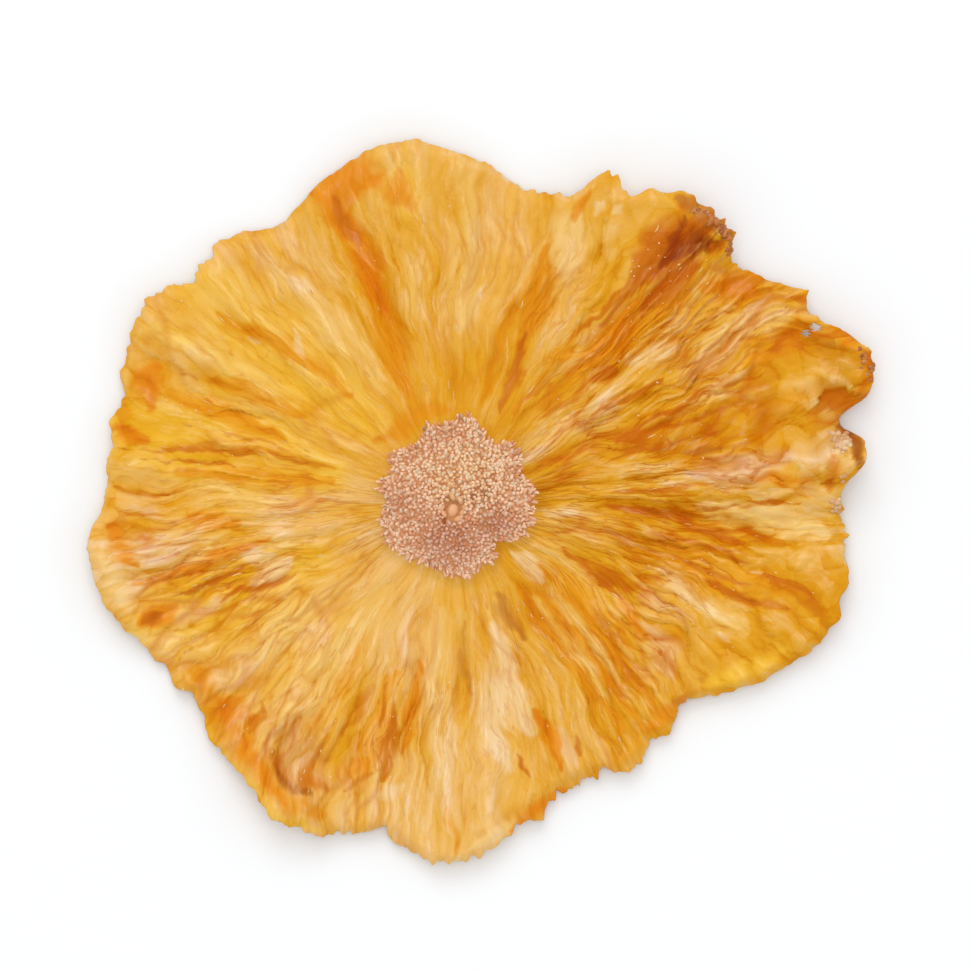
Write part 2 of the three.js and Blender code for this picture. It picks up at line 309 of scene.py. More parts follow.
# Each tone's strokes go round from above the core by the left and back to the upper right.
STROKES: tuple[Stroke, ...] = (
    # Broad pale stretches.
    *strokes(
        Tone.STRAW,
        (2.6, 0.7, 88, 19, 87, 28, 88, 36), (1.5, 0.6, 101, 20, 101, 27),
        (2.6, 0.7, 124, 14, 126, 22, 128, 33), (1.8, 0.6, 148, 20, 149, 27, 150, 35),
        (1.4, 0.6, 180.5, 19, 180, 25), (1.2, 0.6, 176, 33, 176, 37),
        (0.7, 0.6, 152, 38.6, 160, 38, 170, 37.6, 179, 37.6), (1.6, 0.7, 190, 38.3, 194, 38, 199, 37),
        (3.0, 0.6, 213, 16, 216, 23, 218, 30), (2.4, 0.6, 228, 13, 231, 20, 230, 27),
        (2.2, 0.6, 262, 12, 263, 20, 265, 33), (0.8, 0.8, 272.6, 37.4, 282, 35.2),
        (0.9, 0.7, 308, 13, 308, 20, 307.5, 27), (0.9, 0.7, 316.5, 14, 314, 21, 311.8, 27),
        (2.0, 0.8, 337, 29, 335, 34), (1.7, 0.95, 358, 26.5, 356.6, 33, 354.6, 39.5),
        (0.6, 0.7, 20.4, 20, 21.6, 28, 20.4, 35), (0.7, 0.6, 9, 13, 10.5, 20),
        (1.2, 0.6, 35, 13, 34, 20), (3.0, 0.8, 31.5, 28, 31.5, 32, 31.6, 38),
        (1.2, 0.9, 33, 37.4, 29.6, 40, 27.4, 38.4), (0.8, 0.8, 16, 38.5, 13, 41, 12, 42.4),
        (2.4, 0.7, 64, 27, 68, 31, 60, 33),
    ),
    # Plain yellow flesh, most of it at the left, and the light lips.
    *strokes(
        Tone.YELLOW,
        (2.5, 0.6, 100, 31, 99, 38), (1.8, 0.6, 149, 33, 151, 38), (6.0, 0.7, 140, 12, 140, 38),
        (6.0, 0.8, 168, 14, 168, 40), (6.0, 0.7, 203, 16, 204, 38), (5.0, 0.4, 232, 12, 232, 34),
        (0.9, 0.9, 218, 36, 226, 37.2, 231, 38, 240, 39, 248, 38.6),
        (1.4, 0.8, 322, 32.4, 329, 36, 336, 39),
    ),
    # Dry fibres, nearly white.
    *strokes(
        Tone.CREAM,
        (0.5, 0.5, 83, 21.5, 82.5, 23), (0.8, 0.5, 69, 34.2, 76, 34.6, 84, 35.6, 92, 37.5),
        (0.5, 0.6, 108.6, 34.6, 109.6, 33.4), (0.5, 0.9, 134.2, 25.7, 136, 22.5),
        (0.45, 0.7, 141.8, 28.5, 142.4, 27), (1.4, 0.6, 126.5, 29.5, 124.5, 27),
        (1.1, 0.95, 195, 24, 197, 21), (1.2, 0.9, 203, 23.5, 200.6, 19.5),
        (0.6, 0.5, 214.5, 34.5, 216, 33), (1.3, 0.6, 256, 33, 259.5, 31.5),
        (0.9, 0.6, 268.5, 22.5, 268, 31), (1.9, 0.9, 287.5, 14.5, 285.5, 19, 279.5, 23.5, 281, 29.5),
        (1.4, 0.75, 287, 20, 288.5, 26.5), (1.0, 0.9, 315.6, 8.2, 316.8, 12.5),
        (1.2, 0.6, 341, 23, 338.5, 27, 336, 30.5), (0.6, 0.6, 332.8, 31.6, 332.2, 33),
        (0.35, 0.6, 346.5, 33, 344.8, 37), (0.6, 0.8, 352, 9.4, 352.6, 13),
        (1.5, 0.55, 39, 24, 35.4, 26.4, 33.4, 29), (0.8, 0.8, 64, 34.2, 63.4, 35.4),
        (0.7, 0.7, 61, 35, 60.4, 36), (0.7, 0.6, 58.8, 22.4, 58.2, 25),
    ),
    # Dull pinkish stretches.
    *strokes(
        Tone.PINK,
        (0.8, 0.6, 181, 34.6, 184, 32), (1.4, 0.6, 203, 33, 203, 28), (1.3, 0.6, 294, 27, 295, 31),
        (1.8, 0.75, 327, 25, 321, 29.5), (1.7, 0.8, 6, 25.5, 6.4, 31, 7.6, 36),
        (0.9, 0.6, 51, 21.5, 50.6, 24.5),
    ),
    # Deep golden streaks along the bundles, and the darker right side.
    *strokes(
        Tone.AMBER,
        (1.9, 1.0, 113, 12, 112.5, 17.5, 112, 22, 111, 28),
        (1.2, 0.9, 96, 10, 106, 10.2, 120, 9.6, 134, 9.8, 143, 10.6),
        (1.1, 0.8, 136, 16, 136.5, 21.5, 139.8, 27, 142, 33), (1.5, 0.7, 151, 19, 153, 24, 154, 29),
        (1.4, 0.85, 160.5, 20, 160, 27, 159, 33), (1.6, 0.6, 166, 14, 166.6, 22, 169, 31),
        (1.1, 0.8, 172, 14, 173.5, 22, 174.5, 30), (3.0, 0.32, 180, 37.2, 190, 36.8, 200, 35.8, 209, 35),
        (0.8, 0.8, 229.5, 35.5, 227, 32), (2.0, 0.8, 213, 33.5, 221, 34.2, 229, 35.4, 237, 37, 246, 37),
        (1.6, 0.6, 238, 19, 239, 25), (1.3, 0.8, 250, 20, 250.5, 26, 251, 31),
        (1.6, 0.5, 287, 34.2, 295, 33.8, 305, 33.2, 314, 31.6), (0.5, 0.7, 268.4, 33, 270, 38.5),
        (0.8, 0.8, 304, 11, 305, 20, 306, 31), (0.8, 0.8, 311, 13, 310.6, 22, 309.6, 32),
        (0.9, 0.85, 321, 11, 318, 20, 315, 28, 313.4, 32), (0.9, 0.7, 326, 12, 323, 19, 320, 25),
        (3.0, 0.7, 347, 22, 345, 29, 344, 37), (0.9, 0.85, 25, 34.5, 25, 39, 28.6, 41.6),
        (2.2, 0.6, 17, 35, 16.4, 42), (1.1, 0.8, 13.5, 44.8, 17.5, 46.3, 21, 46.2, 25, 44.6, 28.5, 43.2),
        (1.8, 0.8, 43.5, 21, 42.5, 28, 41.5, 33), (1.5, 0.85, 66, 18, 68.6, 24, 70, 29),
        (0.7, 0.8, 77, 10.4, 75, 17, 73, 23), (0.8, 0.8, 56, 11.6, 54, 18, 53.4, 24),
    ),
    # Strong streaks beside the browned places and along the rim.
    *strokes(
        Tone.ORANGE,
        (1.7, 1.0, 111, 22, 111, 27, 111.6, 33), (2.4, 1.2, 104, 35.5, 108, 36.4, 112, 35, 113, 31.5),
        (1.5, 0.8, 99, 31.5, 100.5, 33.5, 100, 36), (1.7, 1.1, 156.5, 35.4, 160, 35.6, 163, 34.4),
        (1.2, 0.8, 169, 33.5, 168.5, 37.5), (1.3, 0.8, 184.5, 37.4, 188, 36.6, 191, 35.6),
        (1.4, 0.7, 184, 29, 186, 24), (0.9, 0.9, 194.5, 36, 195, 30, 194, 25, 192, 20.5),
        (1.4, 0.95, 201.5, 36, 200.5, 32.5), (2.0, 0.85, 221, 33.4, 226, 32.4),
        (0.9, 0.75, 219, 33.6, 226, 34.2, 232, 35.8, 237, 37, 241, 37),
        (1.0, 0.8, 257.4, 18, 258.4, 22, 258, 27.5), (1.4, 0.6, 246.6, 33, 250, 29.5),
        (0.8, 1.0, 291.2, 24.5, 291.6, 28, 290.4, 31), (0.9, 0.9, 279, 36.5, 285, 34.6, 290, 33.2),
        (1.0, 0.8, 329, 21, 324, 24.6), (1.2, 0.7, 310, 32.6, 314, 32.8, 319, 32),
        (0.9, 0.8, 4.5, 32, 3, 38), (1.0, 0.6, 22.6, 45.6, 20.4, 44.6),
        (1.7, 0.9, 41, 35, 37, 37.8, 34.4, 39.4), (1.7, 0.8, 48, 18, 47, 24, 47, 30),
        (1.0, 0.7, 53, 39.6, 51, 40), (0.6, 0.85, 67.4, 32.4, 66.6, 36.4),
    ),
    # Thin seams along the fibres, and the browned lobe.
    *strokes(
        Tone.RUST,
        (1.0, 0.8, 111.5, 35, 112.2, 32.4, 111.6, 29.4), (0.3, 0.7, 155.5, 32.8, 154.6, 31.2, 155, 30.2),
        (0.3, 0.6, 154, 34.1, 154.3, 33.6), (0.7, 0.5, 158, 35.6, 161.5, 35),
        (0.5, 0.6, 166, 13.5, 166.4, 21, 168, 27, 170.5, 34), (0.3, 0.6, 163.5, 19, 164.5, 27),
        (0.25, 0.6, 168, 21, 169.5, 29, 171.5, 37), (0.25, 0.5, 174, 27, 174.6, 37),
        (0.3, 0.7, 171.5, 24, 172, 30, 172.5, 34), (0.5, 0.6, 178, 37, 179.5, 31.5),
        (0.4, 0.6, 182, 36.5, 183.5, 31), (0.35, 0.6, 186.5, 37, 187.5, 32),
        (0.45, 0.8, 203.4, 28, 205.6, 19.5), (0.3, 0.8, 198.5, 33, 198.8, 26, 197.5, 22.5),
        (0.7, 0.8, 201.6, 35.8, 201, 34.4), (0.6, 0.6, 228.6, 33.5, 226.4, 30),
        (1.5, 0.7, 232, 33.6, 238, 34.8, 246, 34.2), (0.5, 0.8, 234.4, 38.6, 237, 39.2),
        (0.25, 0.6, 229, 26, 232, 34), (0.25, 0.6, 233, 25, 235.4, 33), (0.5, 0.5, 238, 25.5, 239, 32.5),
        (0.5, 0.5, 241, 26.5, 241.6, 33), (0.6, 0.5, 235.2, 28.5, 236, 33),
        (1.2, 0.75, 253.8, 24, 254.6, 27.6, 255.6, 31), (0.35, 0.7, 252, 19, 253, 24, 252.4, 30),
        (0.3, 0.7, 249.6, 21, 250.4, 26), (0.9, 0.6, 246.4, 22, 245.4, 25.4, 244, 28),
        (0.6, 0.55, 249, 33.5, 253.5, 30), (0.4, 0.8, 284.4, 28.4, 285, 31),
        (0.4, 0.7, 296.6, 28.4, 296.2, 30.4), (0.6, 0.8, 334, 12.5, 331.2, 17.2, 329, 21.5),
        (0.3, 0.7, 322.7, 26.9, 322.3, 27.4), (0.5, 0.8, 350, 21, 348.6, 28, 348, 33),
        (0.4, 0.8, 345.5, 24, 344, 28, 343.6, 33), (0.7, 0.8, 342, 28, 340.2, 33, 342, 38),
        (0.65, 1.0, 357, 16.5, 356, 21, 353.5, 25.6, 351, 31), (0.3, 0.8, 353.2, 26, 353, 33.5),
        (0.3, 0.8, 358, 25, 358.5, 31, 359.6, 37), (0.45, 0.8, 2, 17, 3, 23, 3.4, 28),
        (1.1, 0.8, 1.5, 39.8, 6.5, 40.8), (0.35, 0.85, 19, 17, 22, 24, 23.6, 30, 22, 36),
        (0.3, 0.8, 17, 16, 18.8, 22, 18.6, 29, 18.2, 34), (0.3, 0.7, 13.5, 16, 14.6, 23, 14.4, 30),
        (0.45, 0.8, 31, 16.5, 31.6, 21, 30.2, 25.4), (0.35, 0.6, 30, 25, 25.6, 28, 25, 31.6, 26, 36),
        (0.35, 0.7, 33.5, 28, 36.4, 31.3, 35.4, 34, 33.4, 36), (0.25, 0.5, 32.6, 29.5, 34, 32, 33, 35),
        (0.8, 0.8, 30.8, 42, 29.4, 43.4), (0.9, 0.9, 20, 46.6, 17, 46.8),
        (1.1, 0.9, 40.6, 19.4, 38.4, 22.4), (0.4, 0.7, 42, 12.5, 41.6, 17, 40.6, 20),
        (0.3, 0.7, 36.5, 14, 36.5, 19), (1.6, 1.0, 45, 29.5, 45.5, 33, 44.6, 36.4),
        (2.6, 1.3, 51, 31, 50, 36, 48, 40), (0.9, 0.8, 49.2, 34.6, 50.2, 30, 50.6, 24),
        (0.7, 0.8, 44.4, 36.4, 44, 32.5, 44.6, 28), (0.35, 0.8, 53.4, 22, 52.6, 27, 52, 31),
        (0.7, 0.8, 62.6, 10.6, 65, 15, 66.6, 19),
    ),
    # Dull brown stretches: browned flesh, and painted shade in the pocket and beside the fold at the
    # left.
    *strokes(
        Tone.BROWN,
        (3.4, 0.3, 182, 33.5, 190, 34), (1.2, 0.4, 208, 9.5, 209, 14), (4.4, 0.6, 231, 32, 242, 31.5),
        (0.8, 0.55, 272.4, 13, 273.4, 18, 275.6, 21), (1.0, 0.75, 291.5, 11.2, 295.5, 14, 298, 17),
        (1.7, 0.38, 274, 36, 285, 33.6, 298, 32.4, 312, 31.4, 325, 33), (0.8, 0.8, 12, 25, 11, 29.5),
        (0.4, 0.7, 9, 27, 9, 33), (3.2, 0.5, 2, 37.6, 11, 41.4, 19, 43.4, 27, 42),
        (1.3, 1.1, 54, 39.8, 50, 40.9, 45, 41.6, 38, 41),
    ),
    # The darkest places: painted shadow in the cracks round the pith, painted shade in the pocket, and
    # the browned lobes.
    *strokes(
        Tone.DARK,
        (0.4, 0.9, 215, 1.7, 232, 2.5, 246, 2.9), (0.35, 0.8, 160, 1.2, 190, 1.4),
        (0.35, 0.8, 290, 1.9, 322, 1.5), (0.8, 0.7, 235.4, 34.6, 239, 35.6, 244, 35.4),
        (1.1, 0.95, 11, 41.8, 8.4, 43.5, 4.5, 43.4), (1.6, 0.85, 49, 34.6, 47.6, 37.6, 44.4, 39.4),
        (0.6, 0.7, 51, 39, 49.4, 33), (0.6, 0.5, 48.4, 36, 49.4, 31.5),
    ),
)


# ---------------- the slice's form


@dataclass(frozen=True)
class Places:
    """Points on the slice, as arrays of one shape, about the core's axis."""

    degrees: Array
    radius: Array
    start: Array
    grain: Array

    @property
    def x(self) -> Array:
        """Plane coordinates, in millimetres."""
        return around_axis(self.degrees, self.radius)[0]

    @property
    def y(self) -> Array:
        """Plane coordinates across."""
        return around_axis(self.degrees, self.radius)[1]


@dataclass(frozen=True)
class Crease:
    """A furrow in the upper face along the fibres, from one radius to another."""

    at: float
    start: float
    end: float
    width: float
    depth: float


@dataclass(frozen=True)
class Spot:
    """A round rise or dip, or some other round patch, placed by angle and radius."""

    at: float
    radius: float
    width: float
    height: float

    def rise(self, degrees: Array, radius: Array) -> Array:
        """The height times a bump of the distance from the spot's middle."""
        along, across = around_axis(degrees - self.at, radius)
        return self.height * bump(np.hypot(along - self.radius, across), self.width)


@dataclass(frozen=True)
class Crumple:
    """A patch that dried into small lumps, `size` across, whose lumps are `pitch` apart."""

    at: float
    radius: float
    size: float
    pitch: float
    height: float


@dataclass(frozen=True)
class Weave:
    """A set of long flakes or folds along the grain.

    `near` is how many there are in a turn beside the core, `far` how many in a turn further out
    and `length` how long they are. `seed` picks one set among many. In millimetres, `rise` is
    how high they stand, `edge` how much they round off and `slant` how far their tops slant.
    """

    near: float
    far: float
    length: float
    seed: int
    rise: float
    edge: float = 0.0
    slant: float = 0.0


@dataclass(frozen=True)
class SliceForm:
    """The shape of the whole slice in millimetres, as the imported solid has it, and its fine relief."""

    rim_radius: float = RIM_RADIUS
    core_radius: float = 8.2
    foot_radius: float = 13.0
    core_thickness: float = 2.9
    shoulder_thickness: float = 2.1
    rim_thickness: float = 1.2
    pleats: int = 26
    pleat_height: float = 0.55
    ruffles: int = 17
    ruffle_height: float = 0.5
    bundles: int = 34
    bundle_height: float = 0.2
    rim_turns: ClosedCurve = ClosedCurve((
        (1.5, 3.7), (6, 6.3), (11.8, 4.6), (14.2, 7.7), (18, 9.5), (26, 6.3), (28, 5.1),
        (30.5, 5.7), (40, 1.5), (44.5, 3.2), (53, 3.1), (61.5, 0.2), (64, 0.9), (66.2, 0.2),
        (69, -2.9), (80, -3.0), (85, -1.3), (91, -0.2), (98, 1.4), (110, -0.1), (123, -2.5),
        (131, -0.4), (140, -0.3), (148, 1.5), (155, 1.0), (164, -0.3), (168, 0.4), (172, -0.2),
        (181, 0.3), (188, 2.1), (199, 1.1), (210, -1.8), (214, -1.3), (216.5, -2.6),
        (227, -0.4), (232, -0.6), (240, 1.5), (253, 0.2), (257, -1.1), (269, 1.6), (282, -2.5),
        (284.5, -2.2), (287, -3.9), (293, -4.8), (305, -3.3), (309, -4.6), (312.5, -3.7),
        (318, -4.9), (330, 0.8), (343, 5.2),
    ))
    rim_lifts: ClosedCurve = ClosedCurve((
        (0, 2.0), (6, 5.0), (12, 2.0), (20, 4.2), (31, 2.2), (38, 1.8), (48, 5.4), (56, 3.4),
        (64, 4.4), (72, 1.5), (85, 0.8), (98, 2.6), (112, 1.2), (125, 0.6), (140, 1.6),
        (150, 2.2), (162, 1.0), (172, 1.8), (180, 1.2), (188, 3.6), (200, 1.8), (212, 0.8),
        (225, 1.6), (240, 3.4), (252, 1.4), (262, 0.7), (270, 2.0), (283, 1.2), (293, 0.6),
        (305, 1.2), (318, 0.6), (330, 1.0), (343, 2.4), (352, 1.6),
    ))
    core_turns: ClosedCurve = ClosedCurve((
        (8, 0.6), (22, -0.6), (41, 0.5), (60, -0.8), (72, 0.2), (84, 1.1), (97, 0.1),
        (110, 0.6), (128, -0.7), (144, 0.7), (158, -0.3), (169, 0.4), (182, -0.4), (194, 0.3),
        (215, 0.7), (236, -0.2), (258, -0.2), (277, 0.5), (292, -0.3), (304, -0.6),
        (313, -1.9), (325, -0.3), (342, 0.4), (355, 0.1),
    ))
    halfway_bends: ClosedCurve = ClosedCurve((
        (0, -2), (12, 0), (22, 5), (31, 3), (40, 0), (50, -4), (60, -1), (75, 0), (120, 0),
        (150, -3), (175, 0), (200, 0), (230, 3), (255, 3), (272, 0), (290, -1), (305, -4),
        (318, -6), (330, -4), (345, -3), (355, -3),
    ))
    rim_bends: ClosedCurve = ClosedCurve((
        (0, -3), (12, 1), (20, 2), (31, 1.5), (40, 2), (50, -3), (60, 0), (90, 0), (120, -1),
        (148, -6), (175, 0), (202, 0), (232, 7), (255, 6), (272, -1), (290, -3), (308, -8),
        (320, -10), (332, -8), (343, -6), (352, -1),
    ))
    creases: tuple[Crease, ...] = tuple(Crease(*row) for row in (
        (112, 14, 34, 2.6, 0.6), (104, 22, 30, 1.4, 0.3), (70, 11, 24, 1.6, 0.4), (47, 14, 39, 2.2, 0.7),
        (38, 12, 26, 1.4, 0.5), (22, 11, 38, 1.3, 0.5), (13, 12, 34, 1.2, 0.4), (357, 14, 36, 1.5, 0.5),
        (347, 16, 37, 1.8, 0.5), (335, 12, 27, 1.5, 0.5), (322, 12, 30, 1.6, 0.5),
        (309, 12, 32, 1.4, 0.4), (289, 24, 31, 1.8, 0.5), (273, 13, 24, 1.3, 0.4),
        (257, 17, 30, 1.9, 0.6), (240, 18, 33, 1.6, 0.5), (224, 14, 33, 1.6, 0.4),
        (201, 11, 36, 1.5, 0.6), (184, 20, 36, 2.0, 0.4), (172, 12, 36, 1.4, 0.5),
        (160, 18, 35, 1.6, 0.5), (146, 13, 33, 1.6, 0.5), (130, 15, 30, 1.4, 0.4),
    ))
    crumples: tuple[Crumple, ...] = tuple(Crumple(*row) for row in (
        (10, 33, 7.0, 2.6, 0.42), (345, 30, 7.0, 2.2, 0.34), (46, 38, 3.4, 1.1, 0.40),
        (63, 35, 2.6, 1.6, 0.42), (28, 38, 5.0, 2.6, 0.40), (7, 41.5, 3.0, 1.6, 0.45),
        (240, 36, 4.0, 1.8, 0.30), (187, 36, 3.2, 1.8, 0.30), (161, 35, 3.4, 1.4, 0.26),
        (212, 33, 4.0, 1.8, 0.24), (46, 40.2, 2.2, 0.62, 0.5), (350, 36, 6.0, 1.4, 0.24),
        (25, 31, 6.0, 1.5, 0.22), (100, 32, 8.0, 1.7, 0.16), (140, 29, 7.0, 1.5, 0.18),
        (175, 33, 6.0, 1.3, 0.22), (252, 30, 6.0, 1.5, 0.22), (285, 28, 8.0, 1.9, 0.16),
        (320, 28, 6.0, 1.5, 0.2), (62, 24, 7.0, 1.6, 0.18), (18, 43, 4.0, 1.2, 0.28),
        (225, 27, 7.0, 1.7, 0.16),
    ))
    pocket: Spot = Spot(239, 33.5, 3.6, 0.5)
    lip: Spot = Spot(240, 37.2, 4.4, 0.7)
    dimple: Spot = Spot(252, 1.3, 1.5, 0.55)
    eddies: tuple[Spot, ...] = tuple(Spot(*row) for row in (
        (29, 38.5, 4.2, 2.2), (33, 32, 2.6, 0.9), (8, 33, 3.4, -0.6), (64, 35.5, 2.6, 0.7),
        (59, 35.5, 2.6, -0.6), (156, 29, 3.2, 0.9), (240, 33, 4.0, -0.8), (341, 31, 3.8, -0.6),
        (330, 27, 3.0, 0.6), (113, 31, 2.6, 0.8), (199, 34, 3.0, -0.8), (282, 29, 3.0, 0.8),
    ))
    wide: Weave = Weave(26, 74, 9.0, 71, 0.40, 0.30, 0.55)
    thin: Weave = Weave(60, 170, 6.0, 81, 0.24, 0.20, 0.3)
    hills: Weave = Weave(24, 52, 11.0, 31, 0.55)
    ridges: Weave = Weave(70, 160, 7.0, 33, 0.20)
    seam_depth: float = 0.2
    frill_height: float = 0.2
    sway: float = 0.7
    sway_pitch: float = 6.5
    shiver: float = 0.28
    crumpled_shiver: float = 0.3
    shiver_pitch: float = 2.4
    relief_seed: int = 11

    def reach(self, degrees: Array) -> Array:
        """Radius of the rim at each angle."""
        return self.rim_radius + self.rim_turns.at(degrees)

    def core_reach(self, degrees: Array) -> Array:
        """Radius of the core's edge at each angle."""
        return self.core_radius + self.core_turns.at(degrees)

    def outward(self, degrees: Array, radius: Array) -> Array:
        """0 over the flat foot and 1 at the rim, in proportion to the radius between them."""
        span = self.reach(degrees) - self.foot_radius
        return np.clip((radius - self.foot_radius) / span, 0, 1)

    def bend(self, degrees: Array, radius: Array) -> Array:
        """Degrees that a fibre has bent: a parabola in the outward share, through its bends."""
        out, rim = self.outward(degrees, radius), self.rim_bends.at(degrees)
        return rim * out**2 + (self.halfway_bends.at(degrees) - rim / 4) * 4 * out * (1 - out)

    def places(self, start: Array, share: Array, stray: Array | float = 0.0) -> Places:
        """Follows fibres outwards.

        Args:
            start: Angle at which each fibre leaves the core.
            share: How far along it the point is, 0 at the core's axis and 1 at the rim.
            stray: How far beyond that radius the point lies, in millimetres.

        Returns:
            The points: their angles are those that the bend there gives, found in steps.
        """
        degrees = start + 0 * share
        for _ in range(6):
            degrees = start + self.bend(degrees, share * self.reach(degrees))
        radius = share * self.reach(degrees) + stray
        grain = start + np.degrees(self._waver(degrees, radius) / np.maximum(radius, 5.0))
        return Places(degrees, radius, start, grain)

    def _waver(self, degrees: Array, radius: Array) -> Array:
        """How far the grain strays sideways from the plain fibres.

        Args:
            degrees: Angles about the core's axis.
            radius: Distances from it.

        Returns:
            Millimetres: layered noise, stronger in the crumpled patches, and a push at each eddy,
            all fading out over the core.
        """
        x, y = around_axis(degrees, radius)
        slow, quick = SoftNoise(self.relief_seed + 40), SoftNoise(self.relief_seed + 41)
        rough = sum(Spot(c.at, c.radius, c.size * 0.9, 1.0).rise(degrees, radius) for c in self.crumples)
        sway = self.sway * slow.at(x / self.sway_pitch, y / self.sway_pitch, np.zeros(x.shape))
        shiver = quick.at(x / self.shiver_pitch, y / self.shiver_pitch, np.ones(x.shape))
        sway = sway + (self.shiver + self.crumpled_shiver * np.minimum(rough, 1)) * shiver
        push = sum(eddy.rise(degrees, radius) for eddy in self.eddies)
        return (sway - push) * smooth(radius, 8.5, 15.0)

    def underside(self, at: Places) -> Array:
        """Height of the lower face: 0 under the middle, then pleats, ruffles and the curl.

        Args:
            at: Where it is wanted.

        Returns:
            Curl times out^1.8, a half sine of each pleat that fades out at the rim, and a half sine
            of each ruffle times out³, where out is the outward share.
        """
        out = self.outward(at.degrees, at.radius)
        sway = 1.4 * np.sin(np.radians(3 * at.start))
        pleat = 0.5 + 0.5 * np.sin(np.radians(self.pleats * at.start) + sway)
        sway = 1.3 * np.sin(np.radians(5 * at.degrees))
        ruffle = 0.5 + 0.5 * np.sin(np.radians(self.ruffles * at.degrees) + sway)
        middle = smooth(out, 0, 0.35) * (1 - 0.6 * out)
        lip = self.lip.rise(at.degrees, at.radius) * smooth(out, 0, 1)
        curl = self.rim_lifts.at(at.degrees) * out**1.8 + lip
        return curl + self.pleat_height * pleat * middle + self.ruffle_height * ruffle * out**3

    def furrows(self, at: Places) -> Array:
        """Depth of the creases.

        Args:
            at: Where it is wanted.

        Returns:
            The deepest crease at each point: a bump across it, soft at both ends.
        """
        deepest = np.zeros(at.radius.shape)
        for crease in self.creases:
            across = at.radius * np.radians(turn_between(crease.at, at.start))
            run = smooth(at.radius, crease.start - 1, crease.start + 4)
            end = 1 - smooth(at.radius, crease.end - 4, crease.end + 2)
            deepest = np.maximum(deepest, crease.depth * bump(across, crease.width) * run * end)
        return deepest

    def thickness(self, at: Places) -> Array:
        """Thickness of the sheet.

        Args:
            at: Where it is wanted.

        Returns:
            The pebbled core's thickness, then that of flesh, which thins to the rim.
        """
        edge = self.core_reach(at.degrees)
        outer = np.maximum(at.radius, edge)
        share = np.clip((outer - edge) / (self.reach(at.degrees) - edge), 0, 1)
        plain = self.shoulder_thickness
        plain = plain + (self.rim_thickness - plain) * share**0.7
        ridge = np.sin(np.radians(self.bundles * at.start) + 2 * np.sin(np.radians(4 * at.start)))
        ridged = self.bundle_height * ridge * smooth(outer, self.core_radius, self.foot_radius + 5)
        sunk = self.furrows(at) + self.pocket.rise(at.degrees, outer)
        flesh = plain + ridged - np.minimum(sunk, plain - self.rim_thickness * 0.5)
        core = self.core_thickness - self.dimple.rise(at.degrees, at.radius)
        return core + (flesh - core) * smooth(at.radius, edge - 0.5, edge + 0.9)

    def streaks(self, at: Places, count: float, length: float, seed: int) -> Array:
        """Noise along the grain, on a cylinder `count` cells round and a cell per `length` up."""
        x, y = around_axis(at.grain, np.full(at.radius.shape, count / math.tau))
        return SoftNoise(seed).at(x, y, at.radius / length + seed)

    def _graded(self, at: Places, weave: Weave) -> Array:
        """Folds of a weave.

        Args:
            at: Where they are wanted.
            weave: Which folds.

        Returns:
            Streaks: near the core as many as the weave has near, then as many as it has far.
        """
        inner = self.streaks(at, weave.near, weave.length, weave.seed)
        outer = self.streaks(at, weave.far, weave.length, weave.seed + 1)
        share = smooth(at.radius, 14, 26)
        level = np.sqrt(share**2 + (1 - share) ** 2)
        return (inner * (1 - share) + outer * share) / level

    def flakes(self, at: Places, weave: Weave) -> tuple[Array, ...]:
        """Long thin flakes that lie along the grain and overlap.

        Args:
            at: Where they are wanted.
            weave: How many there are, and how long.

        Returns:
            The value of the flake at each place, 0 to 1, how far in from its edge it is, and the
            rise of its slanting top.
        """
        sets = []
        for count, pick in ((weave.near, weave.seed), (weave.far, weave.seed + 1)):
            x, y = around_axis(at.grain, np.full(at.radius.shape, count / math.tau))
            sets.append(SoftCells(pick).at(x, y, at.radius / weave.length + pick))
        dither = self.streaks(at, 60, 4.0, weave.seed + 2)
        share = smooth(at.radius + 5 * dither, 19.5, 21.5)
        return tuple(inner * (1 - share) + outer * share for inner, outer in zip(*sets))

    def _lumps(self, at: Places) -> Array:
        """Lumps of the crumpled patches.

        Args:
            at: Where it is wanted.

        Returns:
            Layered noise in them, in millimetres.
        """
        noise = SoftNoise(self.relief_seed + 9)
        total = np.zeros(at.radius.shape)
        for patch in self.crumples:
            inside = Spot(patch.at, patch.radius, patch.size, 1.0).rise(at.degrees, at.radius)
            level = np.full(at.radius.shape, patch.at)
            lumps = noise.layered(at.x / patch.pitch, at.y / patch.pitch, level, 2)
            total += patch.height * inside * lumps
        return total

    def texture(self, at: Places) -> "Texture":
        """The flakes and folds, with the relief they make.

        Formula: each weave's rise times its value, its edge times how far in the place is, held at
        1, and its slant times its slanting top, less the seams. The relief is shallower near the
        core and none on it, and the rim has lumps and frills as well.

        Args:
            at: Where it is wanted.

        Returns:
            What the surface is like at each place.
        """
        wide, wide_in, wide_lean = self.flakes(at, self.wide)
        thin, thin_in, thin_lean = self.flakes(at, self.thin)
        hills, ridges = self._graded(at, self.hills), self._graded(at, self.ridges)
        high = self.wide.rise * (wide - 0.5) + self.wide.edge * np.minimum(wide_in * 2.2, 1)
        high = high + self.thin.rise * (thin - 0.5) + self.thin.edge * np.minimum(thin_in * 2.2, 1)
        high = high + self.hills.rise * hills + self.ridges.rise * ridges
        high = high + self.wide.slant * wide_lean + self.thin.slant * thin_lean
        seam = np.maximum(1 - smooth(wide_in, 0, 0.16), 0.7 * (1 - smooth(thin_in, 0, 0.16)))
        seam = seam * smooth(self.streaks(at, 30, 8.0, self.relief_seed + 33), -0.3, 0.4)
        high = high - self.seam_depth * seam
        rim = self.reach(at.degrees)
        frills = self.streaks(at, 190, 2.4, self.relief_seed + 31)
        frills = frills + self.streaks(at, 90, 3.0, self.relief_seed + 32)
        frills = self.frill_height * frills * smooth(at.radius, rim - 3.5, rim - 0.8)
        lumps = self._lumps(at) + frills
        size = 0.55 + 0.45 * smooth(at.radius, 12, 26)
        grown = smooth(at.radius, self.core_radius + 0.3, self.core_radius + 3)
        relief = (high * size + lumps) * grown
